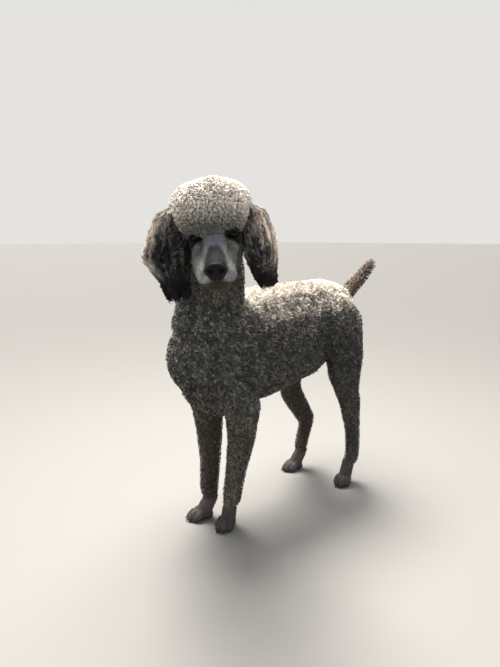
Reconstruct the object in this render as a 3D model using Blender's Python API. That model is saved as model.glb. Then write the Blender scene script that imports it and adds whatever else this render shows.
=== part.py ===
"""A standing standard poodle, life size, as a still museum model.

Metres, +Z up. The dog faces -Y, its left side is +X, and its head is turned to its left.
The flesh is modelled whole from chains of rounded muscles, then parted into nodes by thin cuts.
"""

import math
import random

import bmesh
import bpy
from mathutils import Matrix, Vector

# Driving sizes of the stance, on a floor at z = 0, from the middle of the four feet
GAP = 0.0003
SIDES = {"left": 1.0, "right": -1.0}
FRONT_PAW = {"left": Vector((0.035, -0.200, 0.0)), "right": Vector((-0.035, -0.224, 0.0))}
FRONT_TURN = {"left": 20.0, "right": -26.0}
ANKLE_BACK = {"left": 0.018, "right": 0.026}
ELBOW = {"left": Vector((0.064, -0.178, 0.300)), "right": Vector((-0.066, -0.186, 0.300))}
STIFLE = {"left": Vector((0.082, 0.168, 0.335)), "right": Vector((-0.078, 0.128, 0.330))}
CALF = {"left": Vector((0.086, 0.205, 0.250)), "right": Vector((-0.076, 0.135, 0.250))}
HOCK = {"left": Vector((0.087, 0.221, 0.165)), "right": Vector((-0.072, 0.202, 0.150))}
HOCK_LONG = {"left": 0.027, "right": 0.033}
HIND_PAW = {"left": Vector((0.088, 0.192, 0.0)), "right": Vector((-0.070, 0.150, 0.0))}
HIND_TURN = {"left": 12.0, "right": -14.0}

# Paws are drawn at full width and then set to size
PAW_SIZE = 0.90
SOLE_DEPTH = 0.0025

# Levels of the thin cuts through the legs
PAW_TOP = 0.052
STIFLE_CUT = 0.300

# The head is placed by the point between the eyes
BROW = Vector((0.159, -0.325, 0.700))
HEAD_TURN = 50.0
HEAD_TIP = 18.0
HEAD_LEAN = -5.5
HANG_LEAN = -3.0
EYE_SPREAD = 0.0333
EYE_RADIUS = 0.0122
GAZE_OUT = 15.0
GAZE_UP = 9.0
NECK_FOOT = Vector((0.004, -0.205, 0.535)), Vector((0.12, -0.46, 0.88))
NECK_TOP = Vector((0.075, -0.252, 0.640)), Vector((0.45, -0.35, 0.82))

# The curly coat: how far its clumps stand out of their core, and their spacing, width and height
COAT = 0.009
COAT_STEPS = {"torso": 0.067, "rump": 0.052, "neck": 0.055}
CLUMP_WIDTH = 0.78
CLUMP_TALL = 0.36
LIMB_TOP = 0.315
LIMB_STEP = 0.95
COAT_FACES = 6050
TOPKNOT_COAT = 0.022
TOPKNOT_STEP = 0.030
TOPKNOT_CLUMP = 0.0230
TOPKNOT_FACES = 2850
SEED = 11

# Clumps that hang over the brow: place in the head's frame and radius
FRINGE = (
    (0.000, -0.012, 0.020, 0.0190), (0.023, -0.008, 0.030, 0.0175), (-0.023, -0.008, 0.030, 0.0175),
    (0.044, 0.004, 0.032, 0.0175), (-0.044, 0.004, 0.032, 0.0175),
)

# The ears' locks: rows from the top, as share of the length and count, and the size of a lock
EAR_ROWS = ((-0.06, 8), (0.32, 8))
EAR_LOCK_LENGTH = 0.70
EAR_LOCK_WIDTH = 0.0152
EAR_LOCK_DEPTH = 0.0082
EAR_FACES = 1350

# Meshing of the flesh
BODY_VOXEL = 0.005
FINE_VOXEL = 0.0024
BODY_FACES = 1500
HEAD_FACES = 1300
PAW_FACES = 200
BALL_LEVEL = 2


def clear_scene():
    for old in list(bpy.data.objects):
        bpy.data.objects.remove(old)


def material(name, colour, roughness):
    made = bpy.data.materials.new(name)
    made.use_nodes = True
    shader = made.node_tree.nodes["Principled BSDF"]
    shader.inputs["Base Color"].default_value = (*colour, 1.0)
    shader.inputs["Roughness"].default_value = roughness
    shader.inputs["Metallic"].default_value = 0.0
    return made


def mesh_object(name, shell):
    mesh = bpy.data.meshes.new(name)
    shell.to_mesh(mesh)
    shell.free()
    made = bpy.data.objects.new(name, mesh)
    bpy.context.scene.collection.objects.link(made)
    return made


def apply_modifiers(obj):
    graph = bpy.context.evaluated_depsgraph_get()
    mesh = bpy.data.meshes.new_from_object(obj.evaluated_get(graph))
    obj.modifiers.clear()
    obj.data = mesh


def spot(x, y, z, rx, ry=None, rz=None):
    """A centre and the three radii of an ellipsoid there."""
    ry = rx if ry is None else ry
    return Vector((x, y, z)), Vector((rx, ry, rx if rz is None else rz))


def ball(spot_at, grow=0.0, level=BALL_LEVEL):
    centre, radii = spot_at
    shape = Matrix.Translation(centre) @ Matrix.Diagonal((*(radii + Vector((grow,) * 3)), 1.0))
    shell = bmesh.new()
    bmesh.ops.create_icosphere(shell, subdivisions=level, radius=1.0, matrix=shape)
    return shell


def add_shell(shell, other):
    mesh = bpy.data.meshes.new("passing")
    other.to_mesh(mesh)
    other.free()
    shell.from_mesh(mesh)
    bpy.data.meshes.remove(mesh)


def hull(shell, *spots, grow=0.0, level=BALL_LEVEL):
    """Adds the convex hull of some ellipsoids."""
    link = bmesh.new()
    for end in spots:
        add_shell(link, ball(end, grow, level))
    bmesh.ops.delete(link, geom=link.edges[:], context="EDGES_FACES")
    bmesh.ops.convex_hull(link, input=link.verts)
    bmesh.ops.delete(link, geom=[v for v in link.verts if not v.link_faces], context="VERTS")
    add_shell(shell, link)


def muscle(shell, *spots, grow=0.0, level=BALL_LEVEL):
    """Adds the hull of each two neighbouring ellipsoids, so that a chain of them makes a limb."""
    for first, second in zip(spots, spots[1:]):
        hull(shell, first, second, grow=grow, level=level)


def strand(path, widths, depths, face, sides=6):
    """A closed blade along a path; widths and depths are halves, and its flat side looks along face."""
    shell = bmesh.new()
    rings = []
    for i, point in enumerate(path):
        along = (path[min(i + 1, len(path) - 1)] - path[max(i - 1, 0)]).normalized()
        across = along.cross(face).normalized()
        over = across.cross(along)
        frame = Matrix((across * widths[i], over * depths[i], along)).transposed().to_4x4()
        place = Matrix.Translation(point) @ frame
        ring = bmesh.ops.create_circle(shell, segments=sides, radius=1.0, matrix=place)
        rings.append(ring["verts"])
    loops = [list({e for v in ring for e in v.link_edges}) for ring in rings]
    for first, second in zip(loops, loops[1:]):
        bmesh.ops.bridge_loops(shell, edges=first + second)
    for loop in (loops[0], loops[-1]):
        bmesh.ops.contextual_create(shell, geom=loop)
    bmesh.ops.triangulate(shell, faces=shell.faces)
    bmesh.ops.recalc_face_normals(shell, faces=shell.faces)
    return shell


def fused(name, shell, voxel, rounds, faces):
    """One smooth closed skin round every shell, in about that many triangles."""
    obj = mesh_object(name, shell)
    skin = obj.modifiers.new("Skin", "REMESH")
    skin.mode = "VOXEL"
    skin.voxel_size = voxel
    ease = obj.modifiers.new("Ease", "SMOOTH")
    ease.factor = 0.5
    ease.iterations = rounds
    apply_modifiers(obj)
    thin = obj.modifiers.new("Thin", "DECIMATE")
    thin.ratio = faces / sum(len(p.vertices) - 2 for p in obj.data.polygons)
    apply_modifiers(obj)
    return obj


def scatter(obj, step_at, seed):
    """Evenly spaced places on an object's skin with their normals; step_at gives the spacing there."""
    draw = random.Random(seed)
    mesh = obj.data
    mesh.calc_loop_triangles()
    tries = []
    for face in mesh.loop_triangles:
        a, b, c = (mesh.vertices[i].co for i in face.vertices)
        step = step_at((a + b + c) / 3)
        if step is None:
            continue
        for _ in range(1 + int(40 * face.area / (step * step))):
            i, j = sorted((draw.random(), draw.random()))
            tries.append((a * i + b * (j - i) + c * (1 - j), face.normal.copy(), step))
    draw.shuffle(tries)
    room = [math.inf] * len(tries)
    kept = []
    while tries and max(room) > 1.0:
        kept.append(tries[room.index(max(room))])
        room = [min(left, apart(kept[-1], other)) for left, other in zip(room, tries)]
    for _ in range(4):
        near = [[] for _ in kept]
        for other in tries:
            gaps = [apart(one, other) for one in kept]
            near[gaps.index(min(gaps))].append(other)
        kept = [middle_one(group) for group in near if group]
    return kept


def apart(one, other):
    """How many spacings lie between two places."""
    return 2.0 * (one[0] - other[0]).length / (one[2] + other[2])


def middle_one(group):
    """The place nearest to the middle of a group of them."""
    middle = sum((point for point, _, _ in group), Vector()) / len(group)
    return min(group, key=lambda one: (one[0] - middle).length)


def clump(point, normal, radius, tall, rise, draw):
    """A rounded tuft of curls, tall along the normal, its top at rise above the point."""
    spin = Matrix.Rotation(draw.uniform(0.0, math.pi), 4, "Z")
    lean = (normal + Vector(draw.uniform(-0.12, 0.12) for _ in range(3))).normalized()
    aim = lean.to_track_quat("Z", "Y").to_matrix().to_4x4()
    wide, deep = (radius * draw.uniform(0.94, 1.06) for _ in range(2))
    size = Matrix.Diagonal((wide, deep, tall, 1.0))
    place = Matrix.Translation(point + normal * (rise - tall)) @ aim @ spin @ size
    return rounded(place)


def rounded(place):
    """A low ball, set by a matrix."""
    shell = bmesh.new()
    bmesh.ops.create_icosphere(shell, subdivisions=2, radius=1.0, matrix=place)
    return shell


def limb_clumps(chain, draw, top=None):
    """Clumps in a spiral down a limb's chain, each reaching out to the limb's skin."""
    clumps = []
    bearing = draw.uniform(0.0, 2.0 * math.pi)
    left = 0.0
    for (start, wide), (end, narrow) in zip(chain, chain[1:]):
        long = (end - start).length
        aim = (start - end).to_track_quat("Z", "Y").to_matrix().to_4x4()
        while left < long:
            part = left / long
            centre = start.lerp(end, part)
            radii = wide.lerp(narrow, part)
            reach = 0.5 * (radii.x + radii.y)
            if top is None or centre.z < top:
                out = Vector((math.cos(bearing) * radii.x, math.sin(bearing) * radii.y, 0.0))
                tall = reach * 0.95 * draw.uniform(0.94, 1.1)
                size = Matrix.Diagonal((radii.x * 0.76, radii.y * 0.76, tall, 1.0))
                spin = Matrix.Rotation(draw.uniform(-0.3, 0.3), 4, "X")
                place = Matrix.Translation(centre + out * 0.28 * draw.uniform(0.9, 1.1))
                clumps.append(rounded(place @ aim @ spin @ size))
            bearing += 2.4 + draw.uniform(-0.3, 0.3)
            left += reach * LIMB_STEP
        left -= long
    return clumps


def join(obj, shells):
    """Unites closed shells with obj in one Boolean, then removes them."""
    pieces = bpy.data.collections.new("pieces")
    bpy.context.scene.collection.children.link(pieces)
    for shell in shells:
        piece = mesh_object("piece", shell)
        bpy.context.scene.collection.objects.unlink(piece)
        pieces.objects.link(piece)
    union = obj.modifiers.new("Join", "BOOLEAN")
    union.operation = "UNION"
    union.operand_type = "COLLECTION"
    union.collection = pieces
    union.solver = "MANIFOLD"
    apply_modifiers(obj)
    for piece in list(pieces.objects):
        bpy.data.objects.remove(piece)
    bpy.data.collections.remove(pieces)


def thin_out(obj, faces):
    """Collapses the slivers that a union leaves where pieces cross, down to about that many triangles."""
    thin = obj.modifiers.new("Thin", "DECIMATE")
    thin.ratio = faces / sum(len(p.vertices) - 2 for p in obj.data.polygons)
    thin.use_collapse_triangulate = True
    apply_modifiers(obj)


def carve(obj, cutter, operation="DIFFERENCE"):
    """Cuts obj by one closed shell."""
    tool = mesh_object("tool", cutter)
    cut = obj.modifiers.new("Cut", "BOOLEAN")
    cut.operation = operation
    cut.object = tool
    cut.solver = "MANIFOLD"
    apply_modifiers(obj)
    bpy.data.objects.remove(tool)


def keep_largest(obj):
    """Keeps the largest closed surface and drops loose scraps."""
    shell = bmesh.new()
    shell.from_mesh(obj.data)
    bmesh.ops.remove_doubles(shell, verts=shell.verts, dist=1e-6)
    left, islands = set(shell.verts), []
    while left:
        island, edge = set(), [left.pop()]
        while edge:
            vert = edge.pop()
            island.add(vert)
            near = {e.other_vert(vert) for e in vert.link_edges} & left
            left -= near
            edge.extend(near)
        islands.append(island)
    islands.sort(key=len)
    for island in islands[:-1]:
        bmesh.ops.delete(shell, geom=list(island), context="VERTS")
    shell.to_mesh(obj.data)
    shell.free()


def slab(low, high):
    """A closed box between two corners."""
    low, high = Vector(low), Vector(high)
    size = Matrix.Diagonal((*(high - low), 1.0))
    shell = bmesh.new()
    bmesh.ops.create_cube(shell, size=1.0, matrix=Matrix.Translation((low + high) / 2) @ size)
    return shell


def block(point, direction, wide, long):
    """Corners of a box that stands on a plane through a point, along the plane's normal."""
    normal = direction.normalized()
    side = normal.orthogonal().normalized() * wide
    across = normal.cross(side)
    feet = [point + side * i + across * j for i, j in ((1, 1), (1, -1), (-1, -1), (-1, 1))]
    return feet + [foot + normal * long for foot in feet]


def wedge(corners, shift=Vector()):
    """The convex solid between corners."""
    shell = bmesh.new()
    for corner in corners:
        shell.verts.new(corner + shift)
    bmesh.ops.convex_hull(shell, input=shell.verts)
    return shell


def part_off(body, name, corners, gap):
    """Makes what lies within the corners a node of its own, and takes it, and a gap, off the body."""
    piece = body.copy()
    piece.data = body.data.copy()
    piece.name = name
    bpy.context.scene.collection.objects.link(piece)
    carve(piece, wedge(corners), "INTERSECT")
    carve(body, wedge(corners, gap))
    keep_largest(piece)
    keep_largest(body)
    return piece


def swollen(obj, grow):
    """A copy of an object's shell, moved out along its normals."""
    shell = bmesh.new()
    shell.from_mesh(obj.data)
    bmesh.ops.triangulate(shell, faces=shell.faces)
    for vert in shell.verts:
        vert.co += vert.normal * grow * vert.calc_shell_factor()
    return shell


def clear_of(obj, other):
    """Cuts obj back from another solid by the gap; the second, wider cut clears its sharp folds."""
    for grow in (GAP, 1.8 * GAP, 0.0):
        carve(obj, swollen(other, grow))
    keep_largest(obj)


def head_frame():
    """From the head's own frame, nose along -Y and the point between the eyes at 0, to the dog's."""
    turn = Matrix.Rotation(math.radians(HEAD_TURN), 4, "Z")
    tip = Matrix.Rotation(math.radians(HEAD_TIP), 4, "X")
    lean = Matrix.Rotation(math.radians(HEAD_LEAN), 4, "Y")
    return Matrix.Translation(BROW) @ turn @ lean @ tip


def hanging_frame():
    """The head's frame without its tip, for hair that hangs straight down."""
    turn = Matrix.Rotation(math.radians(HEAD_TURN), 4, "Z")
    lean = Matrix.Rotation(math.radians(HANG_LEAN), 4, "Y")
    return Matrix.Translation(BROW) @ turn @ lean


def trunk_spots():
    """Chest, ribs, loin, croup and rump."""
    return (
        spot(0.0, -0.258, 0.428, 0.075, 0.069, 0.088),
        spot(0.0, -0.180, 0.424, 0.092, 0.090, 0.136),
        spot(0.0, -0.080, 0.434, 0.100, 0.090, 0.148),
        spot(0.0, 0.010, 0.443, 0.097, 0.090, 0.142),
        spot(0.0, 0.090, 0.447, 0.088, 0.080, 0.138),
        spot(0.0, 0.165, 0.477, 0.087, 0.075, 0.109),
        spot(0.0, 0.220, 0.490, 0.070, 0.058, 0.084),
    )


def brisket_spots():
    """The lowest part of the chest, between the forelegs."""
    return (
        spot(0.0, -0.245, 0.372, 0.056, 0.050, 0.070),
        spot(0.0, -0.190, 0.345, 0.060, 0.060, 0.080),
        spot(0.0, -0.110, 0.375, 0.062, 0.070, 0.080),
    )


def neck_spots():
    return (
        spot(-0.004, -0.218, 0.500, 0.084, 0.090, 0.084),
        spot(0.010, -0.220, 0.565, 0.072, 0.078, 0.070),
        spot(0.056, -0.242, 0.625, 0.061, 0.066, 0.060),
        spot(0.100, -0.274, 0.685, 0.053, 0.055, 0.055),
    )


def tail_spots():
    return (
        spot(0.0, 0.215, 0.510, 0.034, 0.036, 0.036),
        spot(0.004, 0.277, 0.536, 0.0220),
        spot(0.014, 0.325, 0.575, 0.0190),
        spot(0.026, 0.366, 0.621, 0.0150),
    )


def front_leg_chains(side):
    s, paw, wrist = SIDES[side], FRONT_PAW[side], FRONT_PAW[side].y + ANKLE_BACK[side]
    elbow = ELBOW[side]
    shoulder = (
        spot(s * 0.046, -0.160, 0.490, 0.040, 0.062, 0.075),
        spot(s * 0.058, elbow.y - 0.046, 0.400, 0.041, 0.048, 0.056),
        spot(elbow.x - s * 0.002, elbow.y - 0.006, elbow.z + 0.030, 0.042, 0.050, 0.050),
    )
    forearm = (
        spot(elbow.x, elbow.y + 0.002, elbow.z, 0.041, 0.043, 0.058),
        spot(s * 0.055, (wrist + elbow.y) / 2 + 0.009, 0.228, 0.033, 0.038, 0.042),
        spot(paw.x + s * 0.006, wrist + 0.006, 0.145, 0.0245, 0.0300, 0.032),
        spot(paw.x + s * 0.002, wrist - 0.002, 0.090, 0.0255, 0.0265, 0.020),
        spot(paw.x, wrist - 0.003, 0.060, 0.0240, 0.0250, 0.016),
    )
    return shoulder, forearm


def hind_leg_chains(side):
    s, paw = SIDES[side], HIND_PAW[side]
    stifle, calf, hock = STIFLE[side], CALF[side], HOCK[side]
    thigh = (
        spot(s * 0.056, 0.172, 0.470, 0.046, 0.084, 0.082),
        spot(s * 0.072, stifle.y + 0.014, 0.400, 0.045, 0.058, 0.060),
        spot(*stifle, 0.037, 0.041, 0.050),
    )
    ham = (
        spot(s * 0.050, 0.226, 0.455, 0.044, 0.050, 0.062),
        spot(s * 0.074, stifle.y + 0.036, 0.370, 0.040, 0.052, 0.060),
        spot(calf.x, calf.y + 0.002, 0.295, 0.029, 0.037, 0.045),
    )
    shank = (
        spot(*stifle, 0.034, 0.042, 0.046),
        spot(*calf, 0.0290, 0.0370, 0.038),
        spot(*hock, 0.0215, HOCK_LONG[side], 0.028),
    )
    pastern = (
        spot(hock.x, hock.y + 0.002, hock.z - 0.010, 0.0215, 0.0260, 0.026),
        spot(paw.x, paw.y + 0.034, 0.092, 0.0215, 0.0235, 0.022),
        spot(paw.x, paw.y + 0.027, 0.060, 0.0215, 0.0235, 0.016),
    )
    return thigh, ham, shank, pastern


def body_flesh(grow=0.0):
    """Everything but head, paws and ears in one smooth closed skin."""
    shell = bmesh.new()
    muscle(shell, *trunk_spots(), grow=grow)
    muscle(shell, *brisket_spots(), grow=grow)
    muscle(shell, *neck_spots(), grow=grow)
    muscle(shell, *tail_spots(), grow=grow)
    for side in SIDES:
        for chain in (*front_leg_chains(side), *hind_leg_chains(side)):
            muscle(shell, *chain, grow=grow)
    return fused("torso", shell, BODY_VOXEL, 22, BODY_FACES)


def coat_step(point):
    """How far apart the clumps stand at a place on the trunk, neck and thighs."""
    if point.z < LIMB_TOP - 0.01 or (point.y > 0.262 and point.z > 0.52):
        return None
    if point.z > 0.52 and point.y < -0.14:
        return COAT_STEPS["neck"]
    return COAT_STEPS["rump" if point.y > 0.12 else "torso"]


def grow_coat(body):
    """Covers the body's core with rounded clumps set close."""
    draw = random.Random(SEED)
    clumps = []
    for point, normal, step in scatter(body, coat_step, SEED):
        rise = COAT * draw.uniform(0.9, 1.1)
        clumps.append(clump(point, normal, step * CLUMP_WIDTH, step * CLUMP_TALL, rise, draw))
    for side in SIDES:
        _, forearm = front_leg_chains(side)
        _, _, shank, pastern = hind_leg_chains(side)
        for chain in (forearm, shank, pastern):
            clumps += limb_clumps(chain, draw, LIMB_TOP)
    clumps += limb_clumps(tail_spots()[1:], draw)
    join(body, clumps)
    thin_out(body, COAT_FACES)


def part_body(body):
    """Cuts the flesh into its nodes and returns them by name."""
    nodes = {"torso": body}
    foot, way = NECK_FOOT
    neck = part_off(body, "neck", block(foot, way, 0.17, 0.35), -way.normalized() * GAP)
    top, rise = NECK_TOP
    carve(neck, wedge(block(top, rise, 0.17, 0.35), -rise.normalized() * GAP))
    nodes["neck"] = neck
    first, second = tail_spots()[0][0], tail_spots()[1][0]
    along = (second - first).normalized()
    root = first + along * 0.052
    nodes["tail"] = part_off(body, "tail", block(root, along, 0.06, 0.25), -along * GAP)
    for side, s in SIDES.items():
        corners = [Vector((s * x, y, z)) for y in (-0.33, -0.09) for x, z in
                   ((0.004, 0.268), (0.17, 0.385), (0.17, -0.1), (0.004, -0.1))]
        top = Vector((-s * 0.58, 0.0, 0.82)).normalized()
        leg = part_off(body, f"leg_front_{side}", corners, top * GAP + Vector((0.0, GAP, 0.0)))
        floor = Vector((0.0, FRONT_PAW[side].y, PAW_TOP))
        carve(leg, wedge(block(floor, Vector((0.0, 0.0, -1.0)), 0.3, 0.2), Vector((0.0, 0.0, GAP))))
        nodes[leg.name] = leg
        corners = [Vector((s * x, y, z)) for y, lift in ((0.040, 0.0), (0.34, 0.07)) for x, z in
                   ((0.002, 0.300 + lift), (0.17, 0.460 + lift), (0.17, -0.1), (0.002, -0.1))]
        top = (corners[1] - corners[0]).cross(corners[4] - corners[0]).normalized() * s
        thigh = part_off(body, f"thigh_{side}", corners, top * GAP)
        down = Vector((0.0, 0.25, -1.0)).normalized()
        joint = Vector((STIFLE[side].x, STIFLE[side].y + 0.015, STIFLE_CUT))
        shank = part_off(thigh, f"shank_{side}", block(joint, down, 0.12, 0.4), -down * GAP)
        down = Vector((0.0, -0.25, -1.0)).normalized()
        hock = part_off(shank, f"hock_{side}", block(HOCK[side], down, 0.08, 0.3), -down * GAP)
        floor = Vector((0.0, HIND_PAW[side].y, PAW_TOP))
        carve(hock, wedge(block(floor, Vector((0.0, 0.0, -1.0)), 0.3, 0.2), Vector((0.0, 0.0, GAP))))
        nodes.update({thigh.name: thigh, shank.name: shank, hock.name: hock})
    for node in nodes.values():
        keep_largest(node)
    return nodes


def head_chains():
    """Skull, cheeks, brows, muzzle, lips and lower jaw in the head's own frame."""
    skull = (spot(0.0, 0.055, 0.016, 0.050, 0.065, 0.044), spot(0.0, 0.008, 0.006, 0.038, 0.030, 0.028))
    muzzle = (
        spot(0.0, 0.000, -0.004, 0.028, 0.022, 0.021),
        spot(0.0, -0.050, -0.015, 0.0225, 0.020, 0.0195),
        spot(0.0, -0.106, -0.026, 0.0205, 0.014, 0.0165),
    )
    jaw = (
        spot(0.0, 0.035, -0.048, 0.034, 0.030, 0.022),
        spot(0.0, -0.030, -0.055, 0.024, 0.020, 0.015),
        spot(0.0, -0.094, -0.057, 0.0200, 0.015, 0.0120),
    )
    throat = (spot(0.0, 0.020, -0.045, 0.036, 0.035, 0.030), spot(0.0, 0.075, -0.045, 0.050, 0.045, 0.050))
    chains = [skull, muzzle, jaw, throat]
    for s in SIDES.values():
        cheek = (
            spot(s * 0.026, -0.006, -0.018, 0.018, 0.026, 0.022),
            spot(s * 0.038, 0.046, -0.014, 0.018, 0.032, 0.032),
        )
        brow = (
            spot(s * 0.014, -0.004, 0.012, 0.012, 0.014, 0.009),
            spot(s * 0.036, 0.004, 0.011, 0.012, 0.014, 0.009),
        )
        lip = (
            spot(s * 0.024, -0.014, -0.032, 0.016, 0.022, 0.021),
            spot(s * 0.0180, -0.058, -0.034, 0.0165, 0.024, 0.0210),
            spot(s * 0.0160, -0.098, -0.038, 0.0180, 0.0175, 0.0165),
        )
        lid = (
            spot(s * EYE_SPREAD, 0.0, 0.0, EYE_RADIUS + 0.0025),
            spot(s * (EYE_SPREAD - 0.006), 0.012, 0.0, 0.014),
        )
        chains += [cheek, brow, lip, lid]
    return chains


def head_blank():
    shell = bmesh.new()
    for chain in head_chains():
        muscle(shell, *chain, level=3)
    bmesh.ops.transform(shell, matrix=head_frame(), verts=shell.verts)
    muscle(shell, *neck_spots()[1:])
    blank = fused("head", shell, FINE_VOXEL, 12, HEAD_FACES)
    top, rise = NECK_TOP
    carve(blank, wedge(block(top, -rise, 0.17, 0.3)))
    keep_largest(blank)
    return blank


def nose_shell(grow=0.0):
    """The leather pad at the end of the muzzle."""
    wings = [spot(s * 0.0120, -0.1185, -0.0200, 0.0085) for s in SIDES.values()]
    base = [spot(s * 0.0055, -0.1190, -0.0335, 0.0075, 0.0065, 0.0065) for s in SIDES.values()]
    shell = bmesh.new()
    hull(shell, *wings, *base, spot(0.0, -0.121, -0.0235, 0.0170, 0.0080, 0.0110), grow=grow)
    bmesh.ops.transform(shell, matrix=head_frame(), verts=shell.verts)
    return shell


def make_nose():
    nose = mesh_object("nose", nose_shell())
    for s in SIDES.values():
        hole = bmesh.new()
        muscle(hole, spot(s * 0.0070, -0.1315, -0.0235, 0.0034, 0.0050, 0.0032),
               spot(s * 0.0125, -0.1285, -0.0260, 0.0026, 0.0050, 0.0018))
        bmesh.ops.transform(hole, matrix=head_frame(), verts=hole.verts)
        carve(nose, hole)
    groove = bmesh.new()
    muscle(groove, spot(0.0, -0.1310, -0.0290, 0.0009, 0.0030, 0.0030),
           spot(0.0, -0.1285, -0.0360, 0.0009, 0.0030, 0.0030))
    bmesh.ops.transform(groove, matrix=head_frame(), verts=groove.verts)
    carve(nose, groove)
    keep_largest(nose)
    return nose


def gaze(s):
    """The place and turn of an eye: its own -Y looks out, a little to the side."""
    out = Matrix.Rotation(math.radians(s * GAZE_OUT), 4, "Z")
    up = Matrix.Rotation(math.radians(-GAZE_UP), 4, "X")
    return head_frame() @ Matrix.Translation((s * EYE_SPREAD, 0.0, 0.0)) @ out @ up


def make_face(head):
    """Cuts eye sockets, the openings of the lids, the line of the mouth and the nose's seat."""
    for s in SIDES.values():
        place = gaze(s)
        socket = ball(spot(0.0, 0.0, 0.0, EYE_RADIUS + GAP))
        opening = bmesh.new()
        hull(opening, *(spot(i * 0.0072, -EYE_RADIUS, 0.0004, 0.0034, 0.012, 0.0020) for i in (-1, 1)),
             spot(0.0, -EYE_RADIUS, 0.0010, 0.0060, 0.012, 0.0070))
        for cutter in (socket, opening):
            bmesh.ops.transform(cutter, matrix=place, verts=cutter.verts)
            carve(head, cutter)
    corner = (
        (0.0370, -0.0130, -0.0430), (0.0345, -0.0500, -0.0475),
        (0.0315, -0.0850, -0.0495), (0.0170, -0.1120, -0.0500),
    )
    line = [Vector(p) for p in corner] + [Vector((0.0, -0.1200, -0.0490))]
    line += [Vector((-x, y, z)) for x, y, z in reversed(corner)]
    mouth = strand(line, [0.0050] * len(line), [0.0011] * len(line), Vector((0.0, 0.0, 1.0)))
    bmesh.ops.transform(mouth, matrix=head_frame(), verts=mouth.verts)
    carve(head, mouth)
    carve(head, nose_shell(GAP))
    keep_largest(head)


def make_eyes():
    for side, s in SIDES.items():
        shell = ball(spot(0.0, 0.0, 0.0, EYE_RADIUS))
        bmesh.ops.transform(shell, matrix=gaze(s), verts=shell.verts)
        mesh_object(f"eye_{side}", shell)


# Stations of the topknot from brow to nape: half spread, place and radii of three lobes; the
# side ones lie lower by the fall
TOPKNOT_FALL = 0.009
TOPKNOT = (
    (0.029, 0.011, 0.053, 0.048, 0.053, 0.056),
    (0.035, 0.046, 0.058, 0.054, 0.070, 0.057),
    (0.022, 0.092, 0.030, 0.054, 0.062, 0.062),
    (0.010, 0.112, -0.030, 0.048, 0.050, 0.050),
)


def topknot_shell(grow=0.0):
    shell = bmesh.new()
    stations = []
    for spread, y, z, *radii in TOPKNOT:
        stations.append([spot(i * spread, y, z - TOPKNOT_FALL * abs(i), *radii) for i in (-1, 0, 1)])
    for first, second in zip(stations, stations[1:]):
        hull(shell, *first, *second, grow=grow)
    bmesh.ops.transform(shell, matrix=hanging_frame(), verts=shell.verts)
    return shell


def ear_plane(s):
    """Where an ear meets the topknot: a point of the plane and its normal, upwards."""
    return Vector((s * 0.067, 0.04, 0.027)), Vector((-s * 0.81, 0.0, 0.58)).normalized()


def make_topknot(head):
    topknot = fused("topknot", topknot_shell(-TOPKNOT_COAT), BODY_VOXEL, 6, 420)
    draw = random.Random(SEED + 1)
    clumps = []
    for point, normal, _ in scatter(topknot, lambda point: TOPKNOT_STEP, SEED + 1):
        rise = TOPKNOT_COAT * draw.uniform(0.9, 1.06)
        clumps.append(clump(point, normal, TOPKNOT_CLUMP, TOPKNOT_CLUMP, rise, draw))
    for *place, radius in FRINGE:
        point = head_frame() @ Vector(place)
        clumps.append(clump(point, Vector((0.0, 0.0, 1.0)), radius, radius, radius, draw))
    join(topknot, clumps)
    thin_out(topknot, TOPKNOT_FACES)
    clear_of(topknot, head)
    for s in SIDES.values():
        point, up = ear_plane(s)
        corners = block(point, -up, 0.16, 0.2)
        low = wedge([c for c in corners if c.x * s > -0.2], up * GAP / 2)
        bmesh.ops.transform(low, matrix=hanging_frame(), verts=low.verts)
        carve(topknot, low)
    top, rise = NECK_TOP
    carve(topknot, wedge(block(top, -rise, 0.2, 0.3)))
    keep_largest(topknot)
    return topknot


def ear_spots(side):
    """The ears hang unlike: the right one spreads wider and longer than the left."""
    if side == "right":
        return (
            spot(-0.080, 0.042, 0.044, 0.032, 0.038, 0.030),
            spot(-0.092, 0.042, 0.004, 0.0405, 0.040, 0.034),
            spot(-0.101, 0.040, -0.034, 0.0450, 0.040, 0.026),
            spot(-0.086, 0.036, -0.084, 0.0270, 0.034, 0.024),
            spot(-0.081, 0.034, -0.114, 0.0220, 0.026, 0.016),
        )
    return (
        spot(0.072, 0.042, 0.044, 0.0270, 0.038, 0.024),
        spot(0.085, 0.042, 0.008, 0.0270, 0.038, 0.036),
        spot(0.089, 0.040, -0.036, 0.0305, 0.036, 0.034),
        spot(0.092, 0.037, -0.074, 0.0220, 0.026, 0.024),
        spot(0.096, 0.036, -0.094, 0.0170, 0.020, 0.015),
    )


def ear_outline(side, down):
    """Centre and half widths of the ear's hair at a share of its length, 0 at the top and 1 at the tip."""
    spots = ear_spots(side)
    place = min(max(down, 0.0), 0.9999) * (len(spots) - 1)
    i = int(place)
    part = place - i
    centre = spots[i][0].lerp(spots[i + 1][0], part)
    radii = spots[i][1].lerp(spots[i + 1][1], part)
    if down > 1.0:
        centre = centre - Vector((0.0, 0.0, (down - 1.0) * 0.09))
        radii = radii * max(0.35, 1.0 - 2.2 * (down - 1.0))
    return centre, radii


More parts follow.
